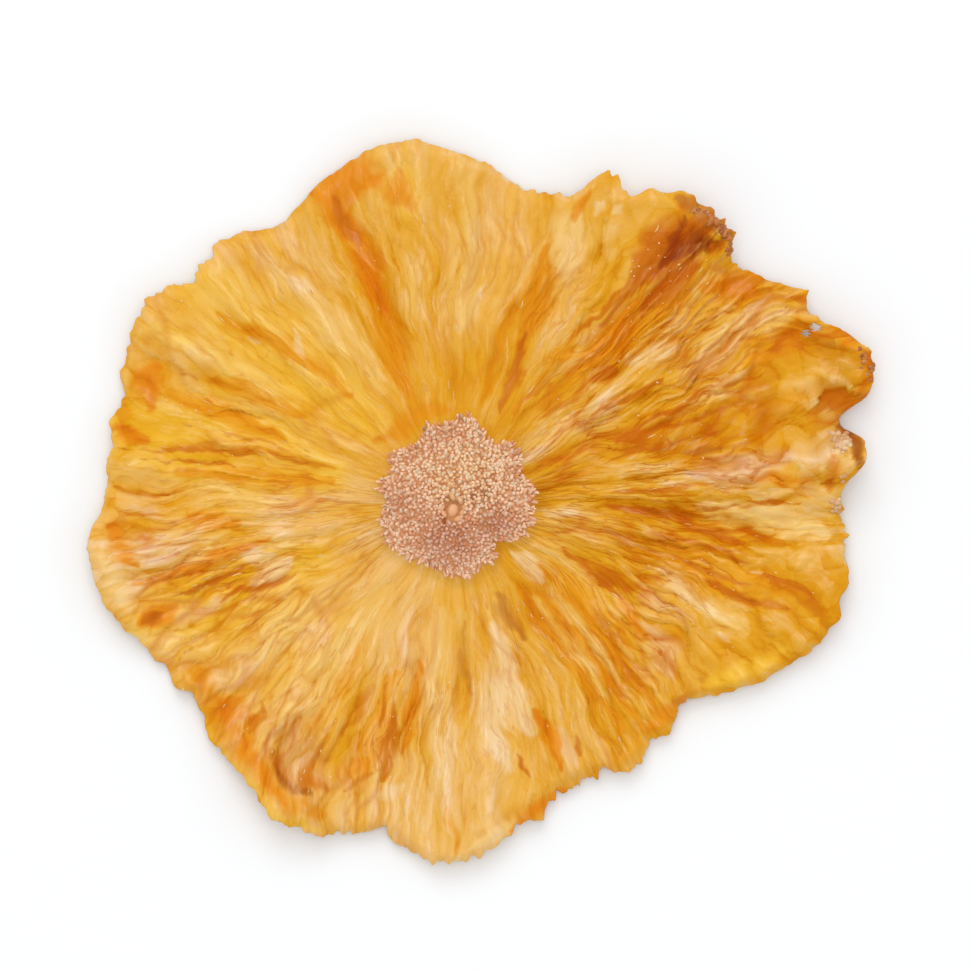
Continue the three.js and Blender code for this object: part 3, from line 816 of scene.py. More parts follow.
        return Texture(wide, thin, wide_lean + 0.8 * thin_lean, seam, hills + 0.5 * ridges, relief)


@dataclass(frozen=True)
class Texture:
    """What the flesh's surface is like at each place.

    `wide` and `thin` are the values of the flakes there, `lean` is the rise of their slanting
    tops, `seam` is 1 in the furrows between them, `hills` is the soft rise of the folds and
    `relief` the height of all of it.
    """

    wide: Array
    thin: Array
    lean: Array
    seam: Array
    hills: Array
    relief: Array


def tone_masks(at: Places) -> dict[Tone, Array]:
    """How full each tone is at each point.

    Args:
        at: Where it is wanted.

    Returns:
        For each tone, what all its strokes cover together: 1 less the product of what each
        leaves bare. The strokes' places are shifted a little by noise.
    """
    shift = SoftNoise(71)
    x, y, level = at.x, at.y, np.zeros(at.radius.shape)
    sway_x = 0.5 * shift.layered(x / 2.6, y / 2.6, level, 3)
    sway_y = 0.5 * shift.layered(x / 2.6, y / 2.6, level + 9.5, 3)
    bare = {tone: np.ones(x.shape) for tone in Tone}
    for stroke in STROKES:
        full = stroke.fullness(x + sway_x, y + sway_y)
        bare[stroke.tone] *= 1 - np.clip(full, 0, 1)
    return {tone: 1 - left for tone, left in bare.items()}


# ---------------- meshes


@dataclass
class MeshParts:
    """Corners, faces and per-corner values of a mesh that is being put together, in millimetres."""

    corners: Array
    faces: list[Sequence[int]]
    values: dict[str, Array] = field(default_factory=dict)


class Bench:
    """Puts finished meshes into Blender, about the core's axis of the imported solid."""

    def __init__(self, axis: tuple[float, float]) -> None:
        """Keeps the place of the core's axis in the row frame, in millimetres."""
        self.axis = np.array([axis[0], axis[1], 0.0])

    def place(
        self, name: str, parts: MeshParts, material: bpy.types.Material, slot: str
    ) -> bpy.types.Object:
        """Makes a smooth-shaded object that rides on the slice's body.

        Args:
            name: The piece's name.
            parts: Its mesh, in millimetres about the core's axis.
            material: Its finish.
            slot: The record's material slot that it stands for. Not used.

        Returns:
            The new object, at the origin, with its place in its mesh.
        """
        mesh = bpy.data.meshes.new(name)
        corners = (parts.corners + self.axis) * MM
        mesh.from_pydata(corners, [], parts.faces)
        for key, values in parts.values.items():
            kind, name_in = ("FLOAT", "value") if values.ndim == 1 else ("FLOAT_VECTOR", "vector")
            made = mesh.attributes.new(key, kind, "POINT")
            made.data.foreach_set(name_in, np.asarray(values, np.float32).ravel())
        mesh.polygons.foreach_set("use_smooth", np.ones(len(mesh.polygons), bool))
        mesh.update()
        mesh.validate()
        mesh.materials.append(material)
        piece = bpy.data.objects.new(name, mesh)
        bpy.context.scene.collection.objects.link(piece)
        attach(piece, BODY)
        triangles = int(sum(len(face) - 2 for face in parts.faces))
        LOG.info("%s: %d corners, %d triangles", name, len(parts.corners), triangles)
        return piece


class RingStack:
    """Rings round the axis that make a closed surface, some with twice their neighbours' points."""

    def __init__(self, counts: list[int]) -> None:
        """Works out each ring's first point from how many points the rings have."""
        self.counts = counts
        self.starts = [sum(counts[:ring]) for ring in range(len(counts))]

    def between(self, ring: int, other: int, keep: Array | None = None) -> list[tuple[int, ...]]:
        """Faces between two neighbouring rings.

        Args:
            ring: The ring that comes first on the way from the top's middle to the bottom's.
            other: The next ring, with as many points, twice as many or half as many.
            keep: Which of the faces are wanted, where both rings have as many points.

        Returns:
            Squares where the rings match. Otherwise three triangles for each gap of the ring
            that has fewer points.
        """
        n, m = self.counts[ring], self.counts[other]
        a, b = self.starts[ring], self.starts[other]
        j = np.arange(min(n, m))
        if n == m:
            k = (j + 1) % n
            quads = np.stack([a + j, b + j, b + k, a + k], -1)
            return quads[keep].tolist() if keep is not None else quads.tolist()
        few, many = (a, b) if n < m else (b, a)
        k, count = (j + 1) % len(j), 2 * len(j)
        left, middle, right = many + 2 * j, many + (2 * j + 1) % count, many + (2 * j + 2) % count
        fans = [(few + j, left, middle), (few + j, middle, few + k), (few + k, middle, right)]
        made = np.concatenate([np.stack(fan, -1) for fan in fans])
        return (made if n < m else made[:, ::-1]).tolist()


# ---------------- materials


# How bright the studio is, so that a finish's own colour comes out as the one wanted.
EXPOSURE = 1.10
GLOSS = 0.0045


@dataclass(frozen=True)
class Socket:
    """One output of a shader node. Arithmetic on it adds Math nodes."""

    board: "ShaderBoard"
    output: bpy.types.NodeSocket

    def beside(self, name: str) -> "Socket":
        """Another output of the same node."""
        return Socket(self.board, self.output.node.outputs[name])

    def _math(self, operation: str, first: "Value", second: "Value") -> "Socket":
        """Adds a Math node on two values."""
        return self.board.node("ShaderNodeMath", {"operation": operation}, {0: first, 1: second})

    def __add__(self, other: "Value") -> "Socket":
        """The sum."""
        return self._math("ADD", self, other)

    __radd__ = __add__

    def __sub__(self, other: "Value") -> "Socket":
        """The difference."""
        return self._math("SUBTRACT", self, other)

    def __rsub__(self, other: "Value") -> "Socket":
        """The difference, with this value taken away."""
        return self._math("SUBTRACT", other, self)

    def __mul__(self, other: "Value") -> "Socket":
        """The product."""
        return self._math("MULTIPLY", self, other)

    __rmul__ = __mul__


Value = Socket | float | tuple[float, ...]
Scale = float | tuple[float, float, float]


class ShaderBoard:
    """The node tree of one material, with a Principled shader in it."""

    def __init__(self, name: str) -> None:
        """Makes the material.

        Args:
            name: The material's name.
        """
        self.material = bpy.data.materials.new(name)
        self.material.use_nodes = True
        self.tree = self.material.node_tree
        self.tree.nodes.clear()
        self.shader = self.tree.nodes.new("ShaderNodeBsdfPrincipled")
        output = self.tree.nodes.new("ShaderNodeOutputMaterial")
        self.tree.links.new(self.shader.outputs["BSDF"], output.inputs["Surface"])

    def put(self, socket: bpy.types.NodeSocket, value: Value) -> None:
        """Sets or links an input.

        Args:
            socket: The input.
            value: A number or colour to set, or an output to link.
        """
        if isinstance(value, Socket):
            self.tree.links.new(value.output, socket)
        elif isinstance(value, tuple) and socket.type == "RGBA" and len(value) == 3:
            socket.default_value = (*value, 1.0)
        else:
            socket.default_value = value

    def node(self, kind: str, settings: dict, inputs: dict, output: int | str = 0) -> Socket:
        """Adds any node.

        Args:
            kind: The node's type.
            settings: Its own settings, set first. "stops" gives a ramp's positions and colours.
            inputs: Values or links of its input sockets, by name or number.
            output: Which output is wanted.

        Returns:
            That output.
        """
        made = self.tree.nodes.new(kind)
        for key, value in settings.items():
            if key != "stops":
                setattr(made, key, value)
        stops = settings.get("stops", ())
        for i, (position, colour) in enumerate(stops):
            elements = made.color_ramp.elements
            element = elements[i] if i < len(elements) else elements.new(position)
            element.position, element.color = position, (*colour, 1.0)
        for key, value in inputs.items():
            self.put(made.inputs[key], value)
        return Socket(self, made.outputs[output])

    def attribute(self, name: str, output: str = "Fac") -> Socket:
        """A value that the mesh carries."""
        return self.node("ShaderNodeAttribute", {"attribute_name": name}, {}, output)

    def place(self) -> Socket:
        """Where the surface lies in its object, in metres."""
        return self.node("ShaderNodeTexCoord", {}, {}, "Object")

    def mix(self, factor: Value, first: Value, second: Value) -> Socket:
        """A colour between two colours."""
        inputs = {"Factor": factor, 6: first, 7: second}
        return self.node("ShaderNodeMix", {"data_type": "RGBA"}, inputs, 2)

    def clamp(self, value: Value) -> Socket:
        """The value, held between 0 and 1."""
        return self.node("ShaderNodeClamp", {}, {"Value": value})

    def ramp(self, value: Value, low: float, high: float) -> Socket:
        """A soft step of the value from low to high."""
        inputs = {"Value": value, "From Min": low, "From Max": high}
        return self.node("ShaderNodeMapRange", {"interpolation_type": "SMOOTHSTEP"}, inputs)

    def scaled(self, vector: Socket, scale: Scale) -> Socket:
        """A vector, multiplied by a number or part by part."""
        parts = scale if isinstance(scale, tuple) else (scale, scale, scale)
        return self.node("ShaderNodeVectorMath", {"operation": "MULTIPLY"}, {0: vector, 1: parts})

    def noise(self, vector: Socket, scale: Scale, detail: float) -> Socket:
        """Soft noise with so many cells to a unit of the vector, and so many finer layers."""
        inputs = {"Vector": self.scaled(vector, scale), "Scale": 1.0, "Detail": detail}
        return self.node("ShaderNodeTexNoise", {}, inputs, "Fac")

    def cells(self, vector: Socket) -> tuple[Socket, ...]:
        """Cells, one to a unit: the distance to the nearest middle, its colour and its place."""
        distance = self.node("ShaderNodeTexVoronoi", {}, {"Vector": vector, "Scale": 1.0}, "Distance")
        return distance, distance.beside("Color"), distance.beside("Position")

    def bumps(self, height: Socket, distance: float, strength: float = 1.0) -> Socket:
        """The normal of a surface with a relief, whose height counts in so many metres."""
        inputs = {"Height": height, "Distance": distance, "Strength": strength}
        return self.node("ShaderNodeBump", {}, inputs, "Normal")

    def finish(self, fixed: dict[str, Value], varying: dict[str, Value]) -> bpy.types.Material:
        """Sets the shader.

        Args:
            fixed: Values that are the same all over.
            varying: Values that change over the surface.

        Returns:
            The material.
        """
        for key, value in {**fixed, **varying}.items():
            self.put(self.shader.inputs[key], value)
        return self.material


def base(display: Display) -> Colour:
    """The base colour that shows as a display colour: its light, less gloss, over exposure."""
    made = [max(0.001, linear(channel) - GLOSS) / EXPOSURE for channel in display]
    return made[0], made[1], made[2]


@dataclass(frozen=True)
class Strand:
    """One size of the strands that the flesh is made of.

    `width` is theirs at the rim, in millimetres: they narrow towards the core as all fibres do.
    `height` is their share of the relief, `paler` how much paler their crests are painted than
    the gaps between them, as highlight and shade, `own` how much one differs from the next and
    `slant` how much each one's top slants to one side, in the relief and in the painted
    highlight. `inner` is the share of all this that is left beside the core.
    """

    width: float
    length: float
    height: float
    paler: float
    own: float
    slant: float
    inner: float


@dataclass(frozen=True)
class FleshFinish:
    """Golden flesh: strands from amber to cream, with painted highlight and shade, and the tones of its
    strokes.

    `plain` is how far along the stops plain flesh is. The scales say how many cells of noise
    there are to a metre in place, or to a millimetre across and along the grain. `gap_cover` and
    `thread_cover` are how far gaps and threads take the gap's colour, a painted shade, in flesh
    without deep tones, and how much further in flesh under the deep tones.
    """

    stops: tuple[tuple[float, Display], ...] = (
        (0.0, (204, 114, 0)), (0.2, (219, 143, 8)), (0.42, (230, 165, 36)),
        (0.6, (237, 180, 76)), (0.8, (242, 195, 118)), (1.0, (247, 210, 166)),
    )
    strands: tuple[Strand, ...] = (
        Strand(3.0, 6.0, 0.9, 0.20, 0.16, 0.9, 0.8), Strand(1.2, 2.6, 0.5, 0.18, 0.12, 0.7, 0.25),
    )
    # The deep amber painted into the gaps, seams and threads as shade.
    gap: Display = (210, 112, 2)
    core_floor: Display = (216, 148, 100)
    plain: float = 0.478
    crest_level: float = 0.62
    patch_scale: float = 170.0
    grit_scale: float = 4200.0
    fine_scale: Scale = (3.4, 3.4, 0.8)
    streak_scale: Scale = (0.9, 0.9, 0.22)
    gap_cover: Range = (0.3, 0.4)
    thread_cover: Range = (0.42, 0.3)
    seam_cover: float = 0.6
    roughness: float = 0.42
    relief: float = 0.00012
    scatter_weight: float = 0.3
    scatter_reach: float = 0.0009

    def material(self) -> bpy.types.Material:
        """Builds the material.

        Returns:
            A material whose colour runs through the stops: from deep in the gaps between the
            strands to pale on their crests, partly the flesh's own colour and partly painted shade
            and highlight. Each tone then covers it where the mesh says so, and the gap's colour fills
            the gaps, the seams and thin threads along the grain as painted shade.
        """
        board = ShaderBoard("dried_flesh")
        place, grain = board.place(), board.attribute("grain", "Vector")
        reach, lively = board.attribute("reach"), board.attribute("lively")
        wide, thin, hills, lean = (board.attribute(name) for name in ("wide", "thin", "hills", "lean"))
        patchy = board.noise(place, self.patch_scale, 3.0)
        grit = board.noise(place, self.grit_scale, 0.0)
        fine = board.ramp(board.noise(grain, self.fine_scale, 2.0), 0.28, 0.72)
        streaky = board.noise(grain, self.streak_scale, 2.0)
        height, crest, own = self._bundle(board, grain, board.ramp(reach, 0.26, 0.6))
        # Painted highlight and shade: the rising side of each slanted flake top is drawn paler, the
        # other deeper.
        crest = crest + lean * 0.26
        # Flakes, fine noise and the folds' hills vary the colour; the hills are painted paler on their
        # rises and deeper in their hollows, as light and shade.
        own = own + (wide - 0.5) * 0.18 + (thin - 0.5) * 0.22 + hills * 0.14 + (fine - 0.5) * 0.06
        # lively sets how strong the relief and this painted highlight and shade are at each angle.
        relief = (own + crest) * lively
        # pallor brings the paler stretches, less painted shade in the creases.
        level = self.plain + relief + (patchy - 0.5) * 0.28 + board.attribute("pallor")
        level = level + (grit - 0.5) * 0.1
        torn = (wide - 0.5) * 0.3 + (thin - 0.5) * 0.4 + (fine - 0.5) * 0.3 + (streaky - 0.5) * 1.5
        covers = self._covers(board, torn, crest)
        for tone, cover in covers.items():
            level = level + cover * tone.paler
        # Tones go deeper in the strands' gaps and paler on their crests, as painted shade and highlight.
        colour = self._toned(board, level, board.clamp(0.5 + relief * 2.2), covers)
        deep_toned = board.clamp(sum(cover for tone, cover in covers.items() if tone.paler < 0))
        off = streaky - 0.5
        # Threads: thin creases along the grain, painted with the gap's shade.
        thread = board.ramp(off * off, 0.0014, 0.0001) * board.ramp(patchy, 0.38, 0.56) * lively
        thread = thread * board.ramp(reach, 0.96, 0.74)
        # Painted shade: gaps between strands, seams and threads take the gap's colour.
        gap = board.ramp(crest * lively + (patchy - 0.5) * 0.2, -0.06, -0.18)
        gap = gap * (self.gap_cover[0] + deep_toned * self.gap_cover[1])
        gap = gap + board.attribute("seam") * lively * self.seam_cover
        gap = gap + thread * (self.thread_cover[0] + deep_toned * self.thread_cover[1])
        rough = (height - thread * 0.3) * lively + fine * 0.1 + grit * 0.06
        fixed = {
            "Specular IOR Level": 0.06,
            "Subsurface Weight": self.scatter_weight,
            "Subsurface Radius": (1.0, 0.45, 0.12),
            "Subsurface Scale": self.scatter_reach,
            "Coat Roughness": 0.22,
        }
        varying = {
            "Base Color": board.mix(board.clamp(gap), colour, base(self.gap)),
            "Roughness": self.roughness + (grit - 0.5) * 0.4,
            "Coat Weight": board.ramp(crest + (fine - 0.5) * 0.12, 0.05, 0.18) * 0.5,
            "Normal": board.bumps(rough, self.relief),
        }
        return board.finish(fixed, varying)

    def _bundle(self, board: ShaderBoard, grain: Socket, outer: Socket) -> tuple[Socket, ...]:
        """All sizes of strands together.

        Args:
            board: Where the nodes go.
            grain: The place along and across the grain.
            outer: 0 beside the core, where the strands are weakest, and 1 further out.

        Returns:
            Their height, how much paler their crests are than their gaps, and how much one
            differs in colour from the next.
        """
        height, crest, own = 0.0, 0.0, 0.0
        for strand in self.strands:
            rise, pick, slant = self._strand(board, grain, strand)
            left = strand.inner + (1 - strand.inner) * outer
            sloped = rise + slant * strand.slant
            height = height + sloped * left * strand.height
            crest = crest + (sloped - self.crest_level) * left * strand.paler
            own = own + (pick - 0.5) * left * strand.own
        return height, crest, own

    def _strand(self, board: ShaderBoard, grain: Socket, strand: Strand) -> tuple[Socket, ...]:
        """The strands of one size.

        Args:
            board: Where the nodes go.
            grain: The place along and across the grain.
            strand: Their size.

        Returns:
            How high each rises, flat-topped, a value of its own, and the rise of its slanting top,
            from how far round the axis each place is from the strand's middle.
        """
        placed = board.scaled(grain, (1 / strand.width, 1 / strand.width, 1 / strand.length))
        away, colour, middle = board.cells(placed)
        away = board.clamp(away * 1.15)
        pick = board.node("ShaderNodeSeparateColor", {}, {"Color": colour}, "Red")
        lean = pick.beside("Green")
        cross = {"operation": "CROSS_PRODUCT"}
        turned = board.node("ShaderNodeVectorMath", cross, {0: middle, 1: placed})
        across = board.node("ShaderNodeSeparateXYZ", {}, {0: turned}, "Z")
        return 1 - away * away * away, pick, across * (strand.width / RIM_RADIUS) * (lean * 2 - 1)

    def _covers(self, board: ShaderBoard, torn: Socket, crest: Socket) -> dict[Tone, Socket]:
        """How much of the surface each tone covers.

        Args:
            board: Where the nodes go.
            torn: Noise that tears a tone's edges along the grain.
            crest: How near a place is to a strand's crest.

        Returns:
            The covers. Dark tones come up from the gaps, and pale ones down from the crests.
        """
        covers = {}
        for tone in Tone:
            full = board.attribute(tone.attribute)
            side = 1.0 if tone.paler > 0 else -1.0
            frayed = torn * 0.7 + crest * (side * 1.4)
            covers[tone] = board.ramp(full + frayed * 0.35, 0.1, 0.95) * board.ramp(full, 0.02, 0.5)
        return covers

    def _toned(
        self, board: ShaderBoard, level: Socket, bright: Socket, covers: dict[Tone, Socket]
    ) -> Socket:
        """The flesh's colour under its tones.

        Args:
            board: Where the nodes go.
            level: Where on the stops the flesh is.
            bright: 0 where tones are deepest, 1 where palest: deeper in the strands' gaps and paler on
                their crests, as painted shade and highlight.
            covers: How far each covers.

        Returns:
            The colour of the level, with each tone mixed over it.
        """
        stops = [(position, base(display)) for position, display in self.stops]
        colour = board.node("ShaderNodeValToRGB", {"stops": stops}, {"Fac": level}, "Color")
        colour = board.mix(board.attribute("core"), colour, base(self.core_floor))
        for tone, cover in covers.items():
            deep, pale = (base(tone.shifted(share)) for share in (-1.0, 1.0))
            colour = board.mix(cover * tone.cover, colour, board.mix(bright, deep, pale))
        return colour


@dataclass(frozen=True)
class CoreFinish:
    """Pinkish beige beads with glossy tips painted paler as a highlight, more golden at the top and
    mauve below.
    """

    # The tips' colours are a painted highlight, paler than the sides.
    tip: Display = (255, 212, 180)
    dull_tip: Display = (230, 178, 152)
    side: Display = (246, 189, 147)
    gold: Display = (255, 210, 150)
    mauve: Display = (196, 134, 108)
    ember: Display = (218, 146, 106)
    ember_cover: float = 0.6
    grit_scale: float = 4200.0
    relief: float = 0.00006
    roughness: float = 0.42

    def material(self) -> bpy.types.Material:
        """Builds the material.

        Returns:
            A material from side to tip by height, with the tip's paler colour as a painted highlight,
            tinted by zone and from bead to bead.
        """
        board = ShaderBoard("core_beads")
        tip, zone, tint = (board.attribute(name) for name in ("tip", "zone", "tint"))
        grit = board.noise(board.place(), self.grit_scale, 2.0)
        golden, dull = board.clamp(zone), board.clamp(0 - zone)
        side = board.mix(golden, base(self.side), base(self.gold))
        side = board.mix(dull, side, base(self.mauve))
        end = board.mix(dull, base(self.tip), base(self.dull_tip))
        # Painted highlight: the upper part of each bead takes the paler tip colour.
        colour = board.mix(board.clamp(tip * (tint * 1.5 - 0.15)), side, end)
        glowing = board.ramp(tint, 0.34, 0.2) * self.ember_cover
        fixed = {
            "Specular IOR Level": 0.14,
            "Subsurface Weight": 0.4,
            "Subsurface Radius": (1.0, 0.5, 0.3),
            "Subsurface Scale": 0.0005,
            "Coat Roughness": 0.15,
        }
        varying = {
            "Base Color": board.mix(glowing, colour, base(self.ember)),
            "Roughness": self.roughness + (grit - 0.5) * 0.2,
            "Coat Weight": tip * 0.15,
            "Normal": board.bumps(grit, self.relief, 0.6),
        }
        return board.finish(fixed, varying)


@dataclass(frozen=True)
class TintFinish:
    """A plain finish between two colours, for fibres, the flecks that stand for glints, and crumbs."""

    name: str
    pale: Display
    deep: Display
    roughness: float = 0.4
    shine: float = 0.3
    mottle_scale: float = 1500.0

    def material(self) -> bpy.types.Material:
        """Builds the material.

        Returns:
            A material between its two colours, by each thing's own tint.
        """
        board = ShaderBoard(self.name)
        mottle = board.noise(board.place(), self.mottle_scale, 2.0)
        share = board.clamp(board.attribute("tint") + (mottle - 0.5) * 0.8)
        colour = board.mix(share, base(self.pale), base(self.deep))
        varying = {"Base Color": colour, "Roughness": self.roughness + mottle * 0.1}
        return board.finish({"Specular IOR Level": self.shine}, varying)


# ---------------- the flesh


@dataclass(frozen=True)
class Tear:
    """A small ragged hole right through the sheet."""

    at: float
    radius: float
    length: float
    width: float
    turn: float

    def inside(self, degrees: Array, radius: Array) -> Array:
        """Which points lie in the hole.

        Args:
            degrees: Angles about the core's axis.
            radius: Distances from it.

        Returns:
            True in an ellipse turned by `turn` from the outward direction.
        """
        x, y = around_axis(degrees, radius)
        cx, cy = around_axis(np.array(self.at), np.array(self.radius))
        turn = math.radians(self.at + self.turn)
        along = (x - cx) * math.cos(turn) + (y - cy) * math.sin(turn)
        across = (y - cy) * math.cos(turn) - (x - cx) * math.sin(turn)
        return (along / (self.length / 2)) ** 2 + (across / (self.width / 2)) ** 2 < 1


@dataclass
class FleshSheet:
    """The flesh and the core's floor: one closed sheet whose columns follow the fibres."""

    form: SliceForm
    bench: Bench
    finish: FleshFinish = field(default_factory=FleshFinish)
    columns: int = 1024
    upper_bands: tuple[tuple[float, float, int, int], ...] = (
        (0.0, 0.2, 14, 4), (0.2, 0.46, 22, 2), (0.46, 0.985, 62, 1),
    )
    mirrored: int = 7
    lower_bands: tuple[tuple[float, float, int, int], ...] = ((0.926, 0.8, 5, 2), (0.8, 0.0, 12, 4))
    rounding: tuple[float, ...] = (0.84, 0.5, 0.16)
    rounding_depth: float = 0.012
    raggedness: float = 0.46
    rim_shift: float = -0.16
    rim_seed: int = 31
    spikes: tuple[tuple[float, float, float], ...] = (
        (64.9, 0.7, 0.7), (29.2, 0.6, 1.0), (43.5, 0.5, 0.5), (47.6, 0.5, 0.5), (275.5, 0.5, 0.4),
        (18.2, 0.6, 0.5), (207, 0.5, 0.5), (221, 0.5, 0.4), (291, 0.6, 0.5), (8.5, 0.8, 0.6),
    )
    least_thickness: float = 0.45
    core_hollow: float = 0.22
    tears: tuple[Tear, ...] = (Tear(25.72, 42.86, 1.4, 1.05, 25), Tear(25.37, 41.6, 1.1, 0.95, 30))
    pallor: ClosedCurve = ClosedCurve((
        (20, -0.045), (50, 0.05), (75, 0.12), (90, 0.12), (112, 0.09), (135, 0.17), (160, 0.1),
        (185, 0.18), (205, 0.17), (230, 0.22), (250, 0.14), (268, 0.2), (300, 0.02), (337, -0.13),
    ))
    inner_pallor: ClosedCurve = ClosedCurve((
        (22, -0.01), (67, -0.08), (112, -0.04), (157, 0.04), (202, 0.24), (247, 0.22),
        (292, 0.06), (337, -0.02),
    ))
    # How strong the relief and the strands' painted highlight and shade are at each angle.
    lively: ClosedCurve = ClosedCurve((
        (15, 1.22), (45, 0.88), (75, 0.4), (105, 0.48), (135, 0.47), (165, 0.6), (195, 0.88),
        (225, 0.62), (255, 0.62), (285, 0.5), (315, 0.7), (345, 1.08),
    ))

    def build(self) -> None:
        """Makes the sheet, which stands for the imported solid."""
        piece = self.bench.place("dried_flesh", self._sheet(), self.finish.material(), "flesh")
        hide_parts(NODE)

    def top(self, at: Places, texture: Texture, masks: dict[Tone, Array]) -> Array:
        """Height of the dressed upper face.

        Args:
            at: Where it is wanted.
            texture: The flakes and folds there.
            masks: How full each tone is there.

        Returns:
            The form's height, with its folds and the relief of the tones.
        """
        marks = sum(tone.relief * full for tone, full in masks.items())
        marks = marks * smooth(at.radius, 9.0, 11.0)
        thick = self.form.thickness(at) + texture.relief * self.lively.at(at.degrees) + marks
        rim = self.form.reach(at.degrees)
        thick = thick * (1 - 0.5 * smooth(at.radius, rim - 1.6, rim - 0.2))
        return self.form.underside(at) + np.maximum(thick, self.least_thickness)

    def top_at(self, at: Places) -> Array:
        """Height of the dressed upper face at some places of their own."""
        return self.top(at, self.form.texture(at), tone_masks(at))

    def _rings(self) -> list[tuple[str, float, int, float]]:
        """Every ring of the sheet.

        Returns:
            Each one's kind, share of the radius, number of points and height share. The first rings
            of the lower face lie under the last ones of the upper face, one by one.
        """
        upper = self._band_rings("upper", self.upper_bands, 1.0)
        wall = [
            ("wall", 1.0 - self.rounding_depth * abs(high - 0.5), self.columns, high)
            for high in self.rounding
        ]
        under = [("lower", share, count, 0.0) for _, share, count, _ in upper[: -self.mirrored - 2 : -1]]
        return upper + wall + under + self._band_rings("lower", self.lower_bands, 0.0)[:-1]

    def _band_rings(self, kind: str, bands: Iterable[tuple], high: float) -> list[tuple]:
        """The rings of some bands.

        Args:
            kind: What they are called.
            bands: Where each starts and ends, its number of steps and how coarse its rings are.
            high: Their height share.

        Returns:
            Evenly spaced rings, without each band's first.
        """
        rings = []
        for start, end, count, coarse in bands:
            shares = np.linspace(start, end, count + 1)[1:]
            rings += [(kind, float(share), self.columns // coarse, high) for share in shares]
        return rings

    def _ragged(self, start: Array) -> Array:
        """How far the torn rim strays from its smooth curve.

        Args:
            start: The angles of its fibres.

        Returns:
            Millimetres: layered noise of the angle, rougher where a slower noise is high, and a
            sharp point at each spike.
        """
        x, y = around_axis(start, np.full(start.shape, 20.0))
        level = np.zeros(start.shape)
        noise = SoftNoise(self.rim_seed).at(x, y, level)
        finer = SoftNoise(self.rim_seed + 2).layered(x * 2.3, y * 2.3, level, 2)
        uneven = 1.0 + 0.9 * SoftNoise(self.rim_seed + 1).at(x / 9, y / 9, level)
        spikes = sum(
            height * np.exp(-np.abs(turn_between(at, start)) / width)
            for at, width, height in self.spikes
        )
        return self.raggedness * uneven * (0.8 * noise - 0.35 * noise**2 + 0.9 * finer) + spikes

    def _sheet(self) -> MeshParts:
        """The closed sheet.

        Returns:
            Its mesh: rings over the top, round the rim and back under the bottom.
        """
        rings = self._rings()
        counts = [count for _, _, count, _ in rings]
        share = np.repeat([share for _, share, _, _ in rings], counts)
        high = np.repeat([high for _, _, _, high in rings], counts)
        start = np.concatenate([np.arange(count) * FULL_TURN / count for count in counts])
        stray = (self._ragged(start) + self.rim_shift) * smooth(share, 0.9, 0.99)
        at = self.form.places(start, share, stray)
        masks, texture = tone_masks(at), self.form.texture(at)
        below = self._under_relief(at) + self._under_core(at)
        bottom = self.form.underside(at) + below * (high == 0.0)
        height = bottom + (self.top(at, texture, masks) - bottom) * high
        corners = np.stack([at.x, at.y, height], -1)
        stack = RingStack(counts)
        faces = self._faces(stack, rings, at)
        return self._cap(stack, faces, corners, self._describe(at, texture, masks))

    def _under_relief(self, at: Places) -> Array:
        """Ridges of the lower face, none over the flat foot."""
        ridges = self.form.streaks(at, 110, 7.0, 52) + 0.6 * self.form.streaks(at, 220, 5.0, 53)
        return 0.14 * ridges * smooth(self.form.outward(at.degrees, at.radius), 0.02, 0.3)

    def _under_core(self, at: Places) -> Array:
        """Hollow of the lower face under the core, which the beads' lower ends fill."""
        edge = self.form.core_reach(at.degrees)
        return self.core_hollow * (1 - smooth(at.radius, edge - 1.0, edge - 0.3))

    def _faces(self, stack: RingStack, rings: list, at: Places) -> list:
        """All faces of the sheet but its caps.

        Args:
            stack: The rings' points.
            rings: What each ring is.
            at: Where the points are.

        Returns:
            Those between the rings and not in a tear, and the tears' own walls.
        """
        faces: list[Sequence[int]] = []
        kinds = [ring[0] for ring in rings]
        first_lower, last_upper = kinds.index("lower"), kinds.index("wall") - 1
        inside = [tear.inside(at.degrees, at.radius) for tear in self.tears]
        holes: dict[int, Array] = {}
        for ring in range(len(rings) - 1):
            mirror = last_upper - (ring - first_lower) - 1
            keep = None
            if kinds[ring + 1] == "upper" and stack.counts[ring] == self.columns:
                holes[ring] = self._torn(stack, ring, inside)
                keep = ~holes[ring]
            elif first_lower <= ring < first_lower + self.mirrored:
                keep = ~holes[mirror]
            faces += stack.between(ring, ring + 1, keep)
        for ring, hole in holes.items():
            if hole.any():
                faces += self._tear_walls(stack, ring, first_lower + last_upper - ring, holes)
        return faces

    def _torn(self, stack: RingStack, ring: int, inside: list[Array]) -> Array:
        """The squares that a tear takes out.

        Args:
            stack: The rings' points.
            ring: The ring before them.
            inside: Which points lie in each tear.

        Returns:
            True for each square with three corners or more in a tear.
        """
        torn = np.zeros(self.columns, bool)
        for within in inside:
            rows = [within[stack.starts[r] : stack.starts[r] + self.columns] for r in (ring, ring + 1)]
            corners = sum(row.astype(int) + np.roll(row, -1) for row in rows)
            torn |= corners >= 3
        return torn

